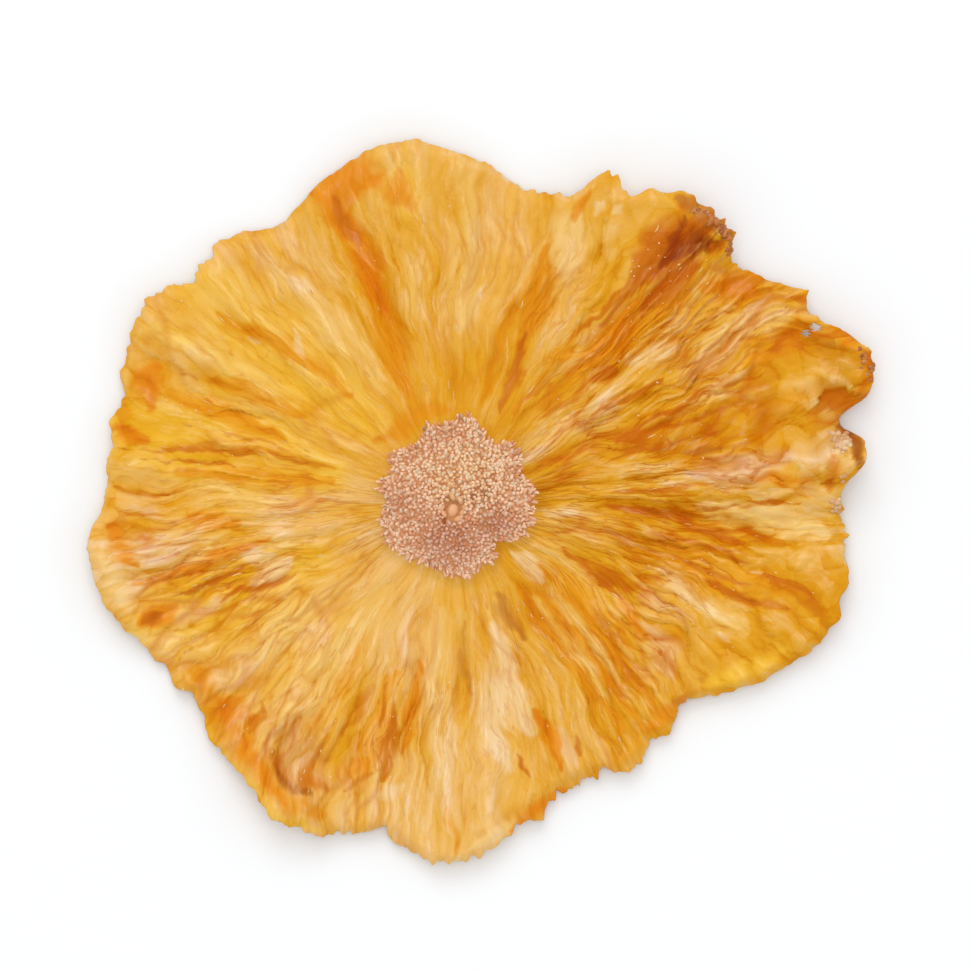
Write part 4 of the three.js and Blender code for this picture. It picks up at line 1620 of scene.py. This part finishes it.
    def _tear_walls(self, stack: RingStack, ring: int, mirror: int, holes: dict[int, Array]) -> list:
        """Walls round the removed squares of a ring.

        Args:
            stack: The rings' points.
            ring: The ring on the upper face.
            mirror: The ring under it.
            holes: The removed squares of every ring.

        Returns:
            Faces from the upper face down to the lower one.
        """
        top = (stack.starts[ring], stack.starts[ring + 1])
        low = (stack.starts[mirror], stack.starts[mirror - 1])
        hole, none = holes[ring], np.zeros(self.columns, bool)
        j = np.arange(self.columns)
        k = (j + 1) % self.columns
        walls = []
        sides = ((holes.get(ring - 1, none), j, k, 0), (holes.get(ring + 1, none), k, j, 1))
        for beyond, a, b, row in sides:
            a, b = a[hole & ~beyond], b[hole & ~beyond]
            walls.append(np.stack([top[row] + a, low[row] + a, low[row] + b, top[row] + b], -1))
        for beyond, at, order in ((np.roll(hole, 1), j, -1), (np.roll(hole, -1), k, 1)):
            at = at[hole & ~beyond]
            wall = np.stack([top[0] + at, low[0] + at, low[1] + at, top[1] + at], -1)
            walls.append(wall[:, ::order])
        return np.concatenate(walls).tolist()

    def _cap(self, stack: RingStack, faces: list, corners: Array, values: dict[str, Array]) -> MeshParts:
        """Closes the first and the last ring with a fan round one point each.

        Args:
            stack: The rings' points.
            faces: All other faces.
            corners: All points.
            values: What each carries.

        Returns:
            The finished mesh.
        """
        for ring, flip in ((0, False), (len(stack.counts) - 1, True)):
            count, start = stack.counts[ring], stack.starts[ring]
            rows = slice(start, start + count)
            middle = corners[rows].mean(0) * (0, 0, 1)
            centre = len(corners)
            corners = np.concatenate([corners, middle[None]])
            values = {key: np.concatenate([v, v[rows].mean(0)[None]]) for key, v in values.items()}
            j = np.arange(count)
            fan = np.stack([np.full(count, centre), start + j, start + (j + 1) % count], -1)
            faces += (fan[:, ::-1] if flip else fan).tolist()
        return MeshParts(corners, faces, values)

    def _pallor(self, at: Places) -> Array:
        """How much paler the flesh is: by angle near the core, and by angle further out."""
        share = smooth(at.radius, 12, 24)
        return self.inner_pallor.at(at.degrees) * (1 - share) + self.pallor.at(at.degrees) * share

    def _describe(self, at: Places, texture: Texture, masks: dict[Tone, Array]) -> dict[str, Array]:
        """What the finish reads.

        Args:
            at: Where the points are.
            texture: The flakes and folds there.
            masks: How full each tone is there.

        Returns:
            The grain's course, its flakes, the seams that the finish paints with shade, the paler parts
            less painted shade in the creases, and the tones.
        """
        x, y = around_axis(at.grain, np.full(at.radius.shape, self.form.rim_radius))
        edge = self.form.core_reach(at.degrees)
        values = {
            "wide": texture.wide,
            "thin": texture.thin,
            "hills": texture.hills,
            "lean": texture.lean,
            "seam": texture.seam * smooth(at.radius, edge + 0.5, edge + 4),
            "lively": self.lively.at(at.degrees),
            "reach": at.radius / self.form.rim_radius,
            # The creases are painted darker here, as shade.
            "pallor": self._pallor(at) - self.form.furrows(at) * 0.26,
            "core": 1 - smooth(at.radius, edge - 0.7, edge + 0.1),
        }
        tones = {tone.attribute: full for tone, full in masks.items()}
        return values | tones | {"grain": np.stack([x, y, at.radius], -1)}


# ---------------- the core


def ellipsoids(
    centres: Array, axes: Array, sizes: Array, around: int, rows: int
) -> tuple[Array, list[tuple[int, ...]], Array]:
    """Many small closed ellipsoids, each leaning its own way.

    Args:
        centres: The middle of each.
        axes: The unit vector that each one's long axis follows.
        sizes: Half the width and half the length of each.
        around: Points round each ring.
        rows: Rings between the two poles.

    Returns:
        All corners, all faces, and for each corner how far up its ellipsoid it is, 0 to 1. A
        ring's radius is the sine, and its place along the axis the cosine, of a polar angle.
    """
    count = len(centres)
    side = np.cross(axes, np.array([0.31, 0.52, 0.0]))
    side /= np.linalg.norm(side, axis=1, keepdims=True)
    other = np.cross(axes, side)
    polar = np.pi * (np.arange(rows) + 1) / (rows + 1)
    turn = math.tau * np.arange(around) / around
    ring = np.sin(polar)[:, None] * np.stack([np.cos(turn), np.sin(turn)])[:, None, :]
    up = np.broadcast_to(-np.cos(polar)[:, None], (rows, around))
    local = np.stack([ring[0], ring[1], up], -1).reshape(-1, 3)
    local = np.concatenate([[[0, 0, -1.0]], local, [[0, 0, 1.0]]])
    wide = local[None, :, 0, None] * side[:, None] + local[None, :, 1, None] * other[:, None]
    tall = local[None, :, 2, None] * axes[:, None]
    corners = centres[:, None] + wide * sizes[:, None, :1] + tall * sizes[:, None, 1:]
    faces = []
    firsts = np.arange(count) * len(local)
    j = np.arange(around)
    k = (j + 1) % around
    for row in range(rows - 1):
        a, b = 1 + row * around, 1 + (row + 1) * around
        quad = np.stack([a + j, a + k, b + k, b + j], -1)
        faces.append((firsts[:, None, None] + quad[None]).reshape(-1, 4))
    last = 1 + (rows - 1) * around
    bottom = np.stack([np.zeros(around, int), 1 + k, 1 + j], -1)
    top = np.stack([np.full(around, len(local) - 1), last + j, last + k], -1)
    tips = [(firsts[:, None, None] + fan[None]).reshape(-1, 3) for fan in (bottom, top)]
    share = np.tile((local[:, 2] + 1) / 2, count)
    made = [*np.concatenate(faces).tolist(), *np.concatenate(tips).tolist()]
    return corners.reshape(-1, 3), made, share


@dataclass
class Core:
    """The pebbled core: fibre ends as beads, bristles at its edge and the pith in its middle."""

    form: SliceForm
    bench: Bench
    finish: CoreFinish = field(default_factory=CoreFinish)
    pitch: float = 0.415
    bead_width: float = 0.23
    bead_length: float = 0.40
    sides: int = 7
    rows: int = 4
    widest: float = 10.5
    jitter: float = 0.16
    lean_spread: float = 80.0
    bristles: int = 220
    bristle_width: Range = (0.13, 0.22)
    bristle_length: Range = (0.3, 0.66)
    pith_at: Range = (252.0, 1.3)
    pith_room: float = 1.15
    grain_turns: tuple[float, ...] = (-55, -15, 12, 42, 68, 92, 118, 165, 200)
    seed: int = 5

    def build(self) -> None:
        """Makes the beads, the bristles and the pith as four pieces."""
        rng = np.random.default_rng(self.seed)
        material = self.finish.material()
        made = {"core_beads": self._beads(rng), "core_bristles": self._bristles(rng)}
        made["core_pith"] = self._pith(rng)
        made["core_beads_below"] = self._beads_below(np.random.default_rng(self.seed + 1))
        for name, parts in made.items():
            self.bench.place(name, parts, material, "core")

    def _zone(self, x: Array, y: Array) -> Array:
        """The core's zones of colour.

        Args:
            x: Where, in millimetres.
            y: The same, across.

        Returns:
            1 where the core is golden, above its middle, and -1 where it is mauve, below it.
        """
        gold = 1.3 * bump(np.hypot(x - 0.8, y - 2.6), 3.6)
        mauve = 1.1 * bump(np.hypot(x + 0.8, y + 4.2), 3.4) + bump(np.hypot(x - 4.4, y + 2.6), 2.0)
        grey = 0.5 * bump(np.hypot(x + 1.0, y - 6.6), 1.8) + 0.4 * bump(np.hypot(x + 6.0, y), 2.4)
        return gold - mauve - grey

    def _floor(self, x: Array, y: Array) -> Array:
        """Height of the sheet that the core's things stand on.

        Args:
            x: Where, in millimetres.
            y: The same, across.

        Returns:
            The solid's height there, without the flesh's folds.
        """
        degrees, radius = polar(x, y)
        at = Places(degrees, radius, degrees, degrees)
        return self.form.underside(at) + self.form.thickness(at)

    def _dress(self, centres: Array, axes: Array, sizes: Array, rng: Draws) -> MeshParts:
        """Ellipsoids with the values that the finish reads.

        Args:
            centres: Their middles.
            axes: Their long axes.
            sizes: Half their widths and lengths.
            rng: Draws their tints.

        Returns:
            Their mesh, with its tips, tints and zones.
        """
        axes = axes / np.linalg.norm(axes, axis=1, keepdims=True)
        corners, faces, share = ellipsoids(centres, axes, sizes, self.sides, self.rows)
        each = len(corners) // len(centres)
        parts = MeshParts(corners, faces)
        # How far up its ellipsoid each point is: the finish paints the upper part paler as a highlight,
        # and glosses it.
        parts.values["tip"] = smooth(share, 0.35, 0.9)
        parts.values["tint"] = np.repeat(rng.uniform(0, 1, len(centres)), each)
        parts.values["zone"] = np.repeat(self._zone(centres[:, 0], centres[:, 1]), each)
        return parts

    def _honeycomb(self, rng: Draws) -> tuple[Array, Array, Array, Array]:
        """Jittered honeycomb places over the core.

        Args:
            rng: Draws the jitter.

        Returns:
            Their x, y, angle and share of the way to the core's edge.
        """
        span = int(self.widest / self.pitch)
        i, j = np.meshgrid(np.arange(-span, span + 1), np.arange(-span, span + 1))
        x = (i + 0.5 * (j % 2)) * self.pitch + rng.uniform(-self.jitter, self.jitter, i.shape)
        y = j * self.pitch * math.sqrt(3) / 2 + rng.uniform(-self.jitter, self.jitter, i.shape)
        x, y = x.ravel(), y.ravel()
        degrees, radius = polar(x, y)
        return x, y, degrees, radius / (self.form.core_reach(degrees) - 0.35)

    def _beads_below(self, rng: Draws) -> MeshParts:
        """The cut fibre ends of the lower face, each down to the table and no further.

        Formula: an ellipsoid's half height is the root of its squared half width and half length,
        each times the squared share of the upright that its own direction has.

        Args:
            rng: Draws all that is random in them.

        Returns:
            Their mesh.
        """
        x, y, degrees, share = self._honeycomb(rng)
        x, y, degrees = (values[share < 0.99] for values in (x, y, degrees))
        turned = degrees + rng.normal(0, self.lean_spread, x.shape)
        out_x, out_y = around_axis(turned, rng.uniform(0, 1.0, x.shape))
        axes = np.stack([out_x, out_y, -np.ones(x.shape)], -1)
        width = self.bead_width * rng.uniform(0.8, 1.2, x.shape)
        length = self.bead_length * rng.uniform(0.7, 1.1, x.shape)
        upright = 1 / (1 + out_x**2 + out_y**2)
        high = np.sqrt(width**2 * (1 - upright) + length**2 * upright)
        centres = np.stack([x, y, high], -1)
        return self._dress(centres, axes, np.stack([width, length], -1), rng)

    def _beads(self, rng: Draws) -> MeshParts:
        """Beads on a jittered honeycomb, which lean outwards more towards the core's edge.

        Args:
            rng: Draws all that is random in them.

        Returns:
            Their mesh, tinted in clumps.
        """
        x, y, degrees, share = self._honeycomb(rng)
        px, py = around_axis(*np.array(self.pith_at))
        keep = (share < 1.0) & (np.hypot(x - px, (y - py - 0.2) * 0.8) > self.pith_room)
        x, y, degrees, share = (values[keep] for values in (x, y, degrees, share))
        lean = rng.uniform(0.0, 1.3, x.shape) + share**4
        out_x, out_y = around_axis(degrees + rng.normal(0, self.lean_spread, x.shape), lean)
        axes = np.stack([out_x, out_y, np.ones(x.shape)], -1)
        width = self.bead_width * rng.uniform(0.75, 1.2, x.shape)
        length = self.bead_length * rng.uniform(0.7, 1.3, x.shape)
        lift = rng.normal(-0.06, 0.06, x.shape) - 0.1 * smooth(share, 0.85, 1.05)
        centres = np.stack([x, y, self._floor(x, y) + lift], -1)
        parts = self._dress(centres, axes, np.stack([width, length], -1), rng)
        clumps = SoftNoise(self.seed).layered(x / 1.5, y / 1.5, np.zeros(x.shape), 2)
        each = len(parts.corners) // len(centres)
        parts.values["tint"] = np.clip(parts.values["tint"] + 0.3 * np.repeat(clumps, each), 0, 1)
        return parts

    def _bristles(self, rng: Draws) -> MeshParts:
        """Longer fibre ends round the core's edge, leaning out over the flesh.

        Args:
            rng: Draws all that is random in them.

        Returns:
            Their mesh.
        """
        degrees = np.sort(rng.uniform(0, FULL_TURN, self.bristles))
        share = rng.uniform(0.9, 1.0, degrees.shape)
        x, y = around_axis(degrees, share * self.form.core_reach(degrees))
        out_x, out_y = around_axis(degrees + rng.normal(0, 30, x.shape), np.ones(x.shape))
        axes = np.stack([out_x, out_y, rng.uniform(0.2, 1.4, x.shape)], -1)
        width = rng.uniform(*self.bristle_width, x.shape)
        length = rng.uniform(*self.bristle_length, x.shape)
        centres = np.stack([x, y, self._floor(x, y) + 0.16], -1)
        return self._dress(centres, axes, np.stack([width, length], -1), rng)

    def _pith(self, rng: Draws) -> MeshParts:
        """The pith's blunt end, with long curved grains lying round it.

        Args:
            rng: Draws all that is random in them.

        Returns:
            Their mesh.
        """
        px, py = around_axis(*np.array(self.pith_at))
        count = len(self.grain_turns)
        turns = np.array(self.grain_turns) + rng.normal(0, 5, count)
        gx, gy = around_axis(turns, rng.uniform(1.0, 1.3, count))
        centres = np.stack([px + gx, py + 0.2 + gy * 1.15, rng.uniform(2.45, 2.7, count)], -1)
        across = np.where((turns > 55) & (turns < 140), 0, 75)
        lie_x, lie_y = around_axis(turns + across + rng.uniform(-25, 25, count), np.ones(count))
        axes = np.stack([lie_x, lie_y, rng.uniform(0.1, 0.6, count)], -1)
        centres = np.concatenate([[[px, py, 2.1]], centres])
        axes = np.concatenate([[[0.3, 1.0, 0.5]], axes])
        width = np.concatenate([[0.72], rng.uniform(0.26, 0.36, count)])
        length = np.concatenate([[0.92], rng.uniform(0.42, 0.62, count)])
        parts = self._dress(centres, axes, np.stack([width, length], -1), rng)
        tint = np.concatenate([[0.25], rng.uniform(0.12, 0.3, count)])
        parts.values["tint"] = np.repeat(tint, len(parts.corners) // len(centres))
        parts.values["zone"] = np.full(len(parts.corners), 0.7)
        return parts


# ---------------- loose fibres


@dataclass
class LooseFibres:
    """Thin fibres that have come up from the flesh and lie along it."""

    form: SliceForm
    bench: Bench
    flesh: FleshSheet
    finish: TintFinish = TintFinish("loose_fibres", (250, 214, 150), (236, 168, 62))
    count: int = 150
    length: Range = (0.4, 1.2)
    thickness: Range = (0.05, 0.085)
    arch: float = 0.03
    steps: int = 5
    sides: int = 4
    seed: int = 17

    def build(self) -> None:
        """Makes the fibres as one piece."""
        rng = np.random.default_rng(self.seed)
        start = rng.uniform(0, FULL_TURN, self.count)
        first = np.sqrt(rng.uniform(0.28**2, 0.93**2, self.count))
        length = rng.uniform(*self.length, self.count) / self.form.rim_radius
        t = np.linspace(0, 1, self.steps)
        share = np.clip(first[:, None] + length[:, None] * t, 0, 0.965)
        sway = rng.normal(0, 0.08, (self.count, 1)) * np.sin(math.pi * t)
        at = self.form.places(start[:, None] + sway / share, share)
        height = self.flesh.top_at(at)
        path = np.stack([at.x, at.y, height + self.arch * np.sin(math.pi * t)], -1)
        taper = np.sin(math.pi * np.clip(t, 0.06, 0.94)) ** 0.5
        parts = self._tubes(path, rng.uniform(*self.thickness, (self.count, 1)) * taper)
        tint = np.clip(rng.normal(0.4, 0.3, self.count), 0, 1)
        parts.values["tint"] = np.repeat(tint, self.steps * self.sides)
        self.bench.place("loose_fibres", parts, self.finish.material(), "flesh")

    def _tubes(self, path: Array, thick: Array) -> MeshParts:
        """A closed tube along each path.

        Args:
            path: The middles of its rings.
            thick: Their radii.

        Returns:
            The mesh: a ring of points about each step, capped at both ends.
        """
        along = np.gradient(path, axis=1)
        along /= np.linalg.norm(along, axis=2, keepdims=True)
        side = np.cross(along, np.array([0.0, 0.0, 1.0]))
        side /= np.linalg.norm(side, axis=2, keepdims=True)
        up = np.cross(side, along)
        turn = math.tau * np.arange(self.sides) / self.sides
        ring = side[:, :, None] * np.cos(turn)[:, None] + up[:, :, None] * np.sin(turn)[:, None]
        corners = path[:, :, None] + ring * thick[:, :, None, None]
        tubes, steps, sides = corners.shape[:3]
        firsts = np.arange(tubes)[:, None] * steps * sides
        i, j = np.meshgrid(np.arange(steps - 1), np.arange(sides), indexing="ij")
        k = (j + 1) % sides
        quad = np.stack([i * sides + j, i * sides + k, (i + 1) * sides + k, (i + 1) * sides + j], -1)
        walls = (firsts[:, :, None] + quad.reshape(1, -1, 4)).reshape(-1, 4)
        cap = np.arange(sides)
        caps = np.concatenate([firsts + cap[::-1], firsts + (steps - 1) * sides + cap])
        return MeshParts(corners.reshape(-1, 3), [*walls.tolist(), *caps.tolist()])


@dataclass(frozen=True)
class Patch:
    """Where scattered things lie: round an angle and radius, so far about, so many."""

    at: float
    radius: float
    wide: float
    count: int


@dataclass(frozen=True)
class Grains:
    """One kind of small grain.

    It lies in its patches, and `strewn` more lie anywhere. `width` is the range of half its
    width, `stretch` how many times longer it is, and `sunk` the share of that half width by
    which its middle lies under the surface.
    """

    finish: TintFinish
    patches: tuple[Patch, ...]
    strewn: int
    width: Range
    stretch: Range
    sunk: float
    seed: int


@dataclass
class Scatter:
    """Small grains stuck to the flesh, all of one kind: pale flecks that are painted glints, crumbs or
    browned crust.
    """

    kind: Grains
    form: SliceForm
    bench: Bench
    flesh: FleshSheet
    sides: int = 6
    rows: int = 3

    def build(self) -> None:
        """Makes the grains as one piece."""
        kind = self.kind
        rng = np.random.default_rng(kind.seed)
        start = [rng.uniform(0, FULL_TURN, kind.strewn)]
        share = [np.sqrt(rng.uniform(0.25**2, 0.975**2, kind.strewn))]
        for patch in kind.patches:
            x, y = around_axis(np.array(patch.at), np.array(patch.radius))
            x = x + rng.normal(0, patch.wide, patch.count)
            y = y + rng.normal(0, patch.wide, patch.count)
            degrees, radius = polar(x, y)
            share.append(np.clip(radius / self.form.reach(degrees), 0.24, 0.985))
            start.append(degrees - self.form.bend(degrees, radius))
        at = self.form.places(np.concatenate(start), np.concatenate(share))
        width = rng.uniform(*kind.width, at.radius.shape)
        length = width * rng.uniform(*kind.stretch, at.radius.shape)
        height = self.flesh.top_at(at) - kind.sunk * width
        turned = at.degrees + rng.normal(0, 25, at.radius.shape)
        x, y = around_axis(turned, np.ones(at.radius.shape))
        axes = np.stack([x, y, rng.normal(0, 0.35, at.radius.shape)], -1)
        axes /= np.linalg.norm(axes, axis=1, keepdims=True)
        centres, sizes = np.stack([at.x, at.y, height], -1), np.stack([width, length], -1)
        corners, faces, _ = ellipsoids(centres, axes, sizes, self.sides, self.rows)
        parts = MeshParts(corners, faces)
        tint = rng.uniform(0, 1, len(centres))
        parts.values["tint"] = np.repeat(tint, len(corners) // len(centres))
        self.bench.place(kind.finish.name, parts, kind.finish.material(), "flesh")


# Pale grains that stand for glints: painted highlights on the flesh.
GLINT_FLECKS = Grains(
    finish=TintFinish("sugar_flecks", (252, 212, 162), (242, 184, 104), 0.3, 0.5),
    patches=(
        Patch(40, 27, 4.0, 22), Patch(49, 33, 2.0, 14), Patch(12, 28, 4.0, 14),
        Patch(348, 30, 3.5, 14), Patch(160, 33, 3.0, 14), Patch(240, 31, 3.5, 14),
        Patch(255, 27, 2.0, 12), Patch(130, 28, 4.0, 10), Patch(205, 32, 3.0, 10),
        Patch(280, 26, 4.0, 8),
    ),
    strewn=50, width=(0.05, 0.11), stretch=(1.0, 2.2), sunk=0.45, seed=23,
)
CRUST = Grains(
    finish=TintFinish("browned_crust", (214, 136, 66), (162, 84, 18), 0.24, 0.5),
    patches=(
        Patch(43, 40.6, 0.45, 14), Patch(44.6, 40.8, 0.45, 14), Patch(46.4, 40.9, 0.45, 14),
        Patch(48.4, 40.7, 0.45, 12), Patch(50.4, 40.3, 0.4, 8), Patch(17.5, 46.8, 0.5, 8),
        Patch(19.4, 46.6, 0.4, 8),
    ),
    strewn=0, width=(0.18, 0.5), stretch=(1.0, 1.6), sunk=0.84, seed=29,
)
CRUMBS = Grains(
    finish=TintFinish("pale_crumbs", (240, 206, 164), (214, 156, 104), 0.5, 0.2),
    patches=(Patch(8.4, 41.9, 0.55, 60), Patch(358.8, 41.0, 0.4, 18), Patch(3, 41.5, 0.3, 6)),
    strewn=0, width=(0.12, 0.36), stretch=(1.0, 1.8), sunk=0.35, seed=31,
)


# ---------------- the studio


@dataclass(frozen=True)
class Studio:
    """White floor, soft white light from all round, and the camera straight above."""

    picture: tuple[int, int] = (970, 971)
    slice_width_px: float = 787.0
    slice_middle_px: tuple[float, float] = (482.5, 502.0)
    slice_width: float = 85.0
    camera_height: float = 800.0
    sensor: float = 36.0
    floor_size: float = 6.0
    floor_gap: float = 0.02
    floor_white: tuple[float, float, float] = (0.89, 0.905, 0.918)
    sky: float = 0.70
    lamp_size: float = 1.2
    lamps: tuple[tuple[str, tuple[float, float, float], float], ...] = (
        ("overhead", (0.0, 0.05, 1.9), 10.0), ("far_side", (-0.2, 1.2, 1.5), 9.0),
    )

    def build(self) -> None:
        """Makes the floor, the light and the camera, and sets plain colour management."""
        self._floor()
        self._light()
        self._camera()
        scene = bpy.context.scene
        scene.view_settings.view_transform = "Standard"
        scene.view_settings.look = "None"

    def _floor(self) -> None:
        """A large pale square just under the slice."""
        half, low = self.floor_size / 2, -self.floor_gap * MM
        corners = [(-half, -half, low), (half, -half, low), (half, half, low), (-half, half, low)]
        mesh = bpy.data.meshes.new("floor")
        mesh.from_pydata(corners, [], [(0, 1, 2, 3)])
        board = ShaderBoard("floor_white")
        fixed = {"Base Color": self.floor_white, "Roughness": 0.9, "Specular IOR Level": 0.0}
        mesh.materials.append(board.finish(fixed, {}))
        floor = bpy.data.objects.new("floor", mesh)
        bpy.context.scene.collection.objects.link(floor)

    def _light(self) -> None:
        """A white sky, one large lamp overhead and one high beyond the slice's far side."""
        world = bpy.data.worlds.new("white_sky")
        world.use_nodes = True
        background = world.node_tree.nodes["Background"]
        background.inputs["Color"].default_value = (1, 1, 1, 1)
        background.inputs["Strength"].default_value = self.sky
        bpy.context.scene.world = world
        for name, place, power in self.lamps:
            lamp = bpy.data.lights.new(name, "AREA")
            lamp.shape, lamp.size, lamp.energy = "DISK", self.lamp_size, power
            holder = bpy.data.objects.new(name, lamp)
            holder.location = place
            direction = -holder.location
            holder.rotation_euler = direction.to_track_quat("-Z", "Y").to_euler()
            bpy.context.scene.collection.objects.link(holder)

    def _camera(self) -> None:
        """A long lens straight above, placed so that the slice lies where it should."""
        per_px = self.slice_width / self.slice_width_px
        wide = self.picture[0] * per_px
        x = (self.picture[0] / 2 - self.slice_middle_px[0]) * per_px
        y = (self.slice_middle_px[1] - self.picture[1] / 2) * per_px
        data = bpy.data.cameras.new("camera")
        data.sensor_fit, data.sensor_width = "HORIZONTAL", self.sensor
        data.lens = self.sensor * self.camera_height / wide
        data.clip_start, data.clip_end = 0.01, 20.0
        camera = bpy.data.objects.new("camera", data)
        camera.location = (x * MM, y * MM, self.camera_height * MM)
        bpy.context.scene.collection.objects.link(camera)
        bpy.context.scene.camera = camera


def core_axis() -> tuple[float, float]:
    """Where the core's axis stands, in millimetres, from the record's resting face under it."""
    places = {mount["name"]: mount["pos_m"] for mount in frame["record"]["mounts"]}
    return places["rest_face"][0] / MM, places["rest_face"][1] / MM


def main() -> None:
    """Builds the slice and its studio, and reports each piece."""
    logging.basicConfig(level=logging.INFO, format="%(name)s %(message)s")
    Studio().build()
    form, bench = SliceForm(), Bench(core_axis())
    flesh = FleshSheet(form, bench)
    flesh.build()
    Core(form, bench).build()
    LooseFibres(form, bench, flesh).build()
    for kind in (GLINT_FLECKS, CRUST, CRUMBS):
        Scatter(kind, form, bench, flesh).build()


if __name__ == "__main__":
    main()
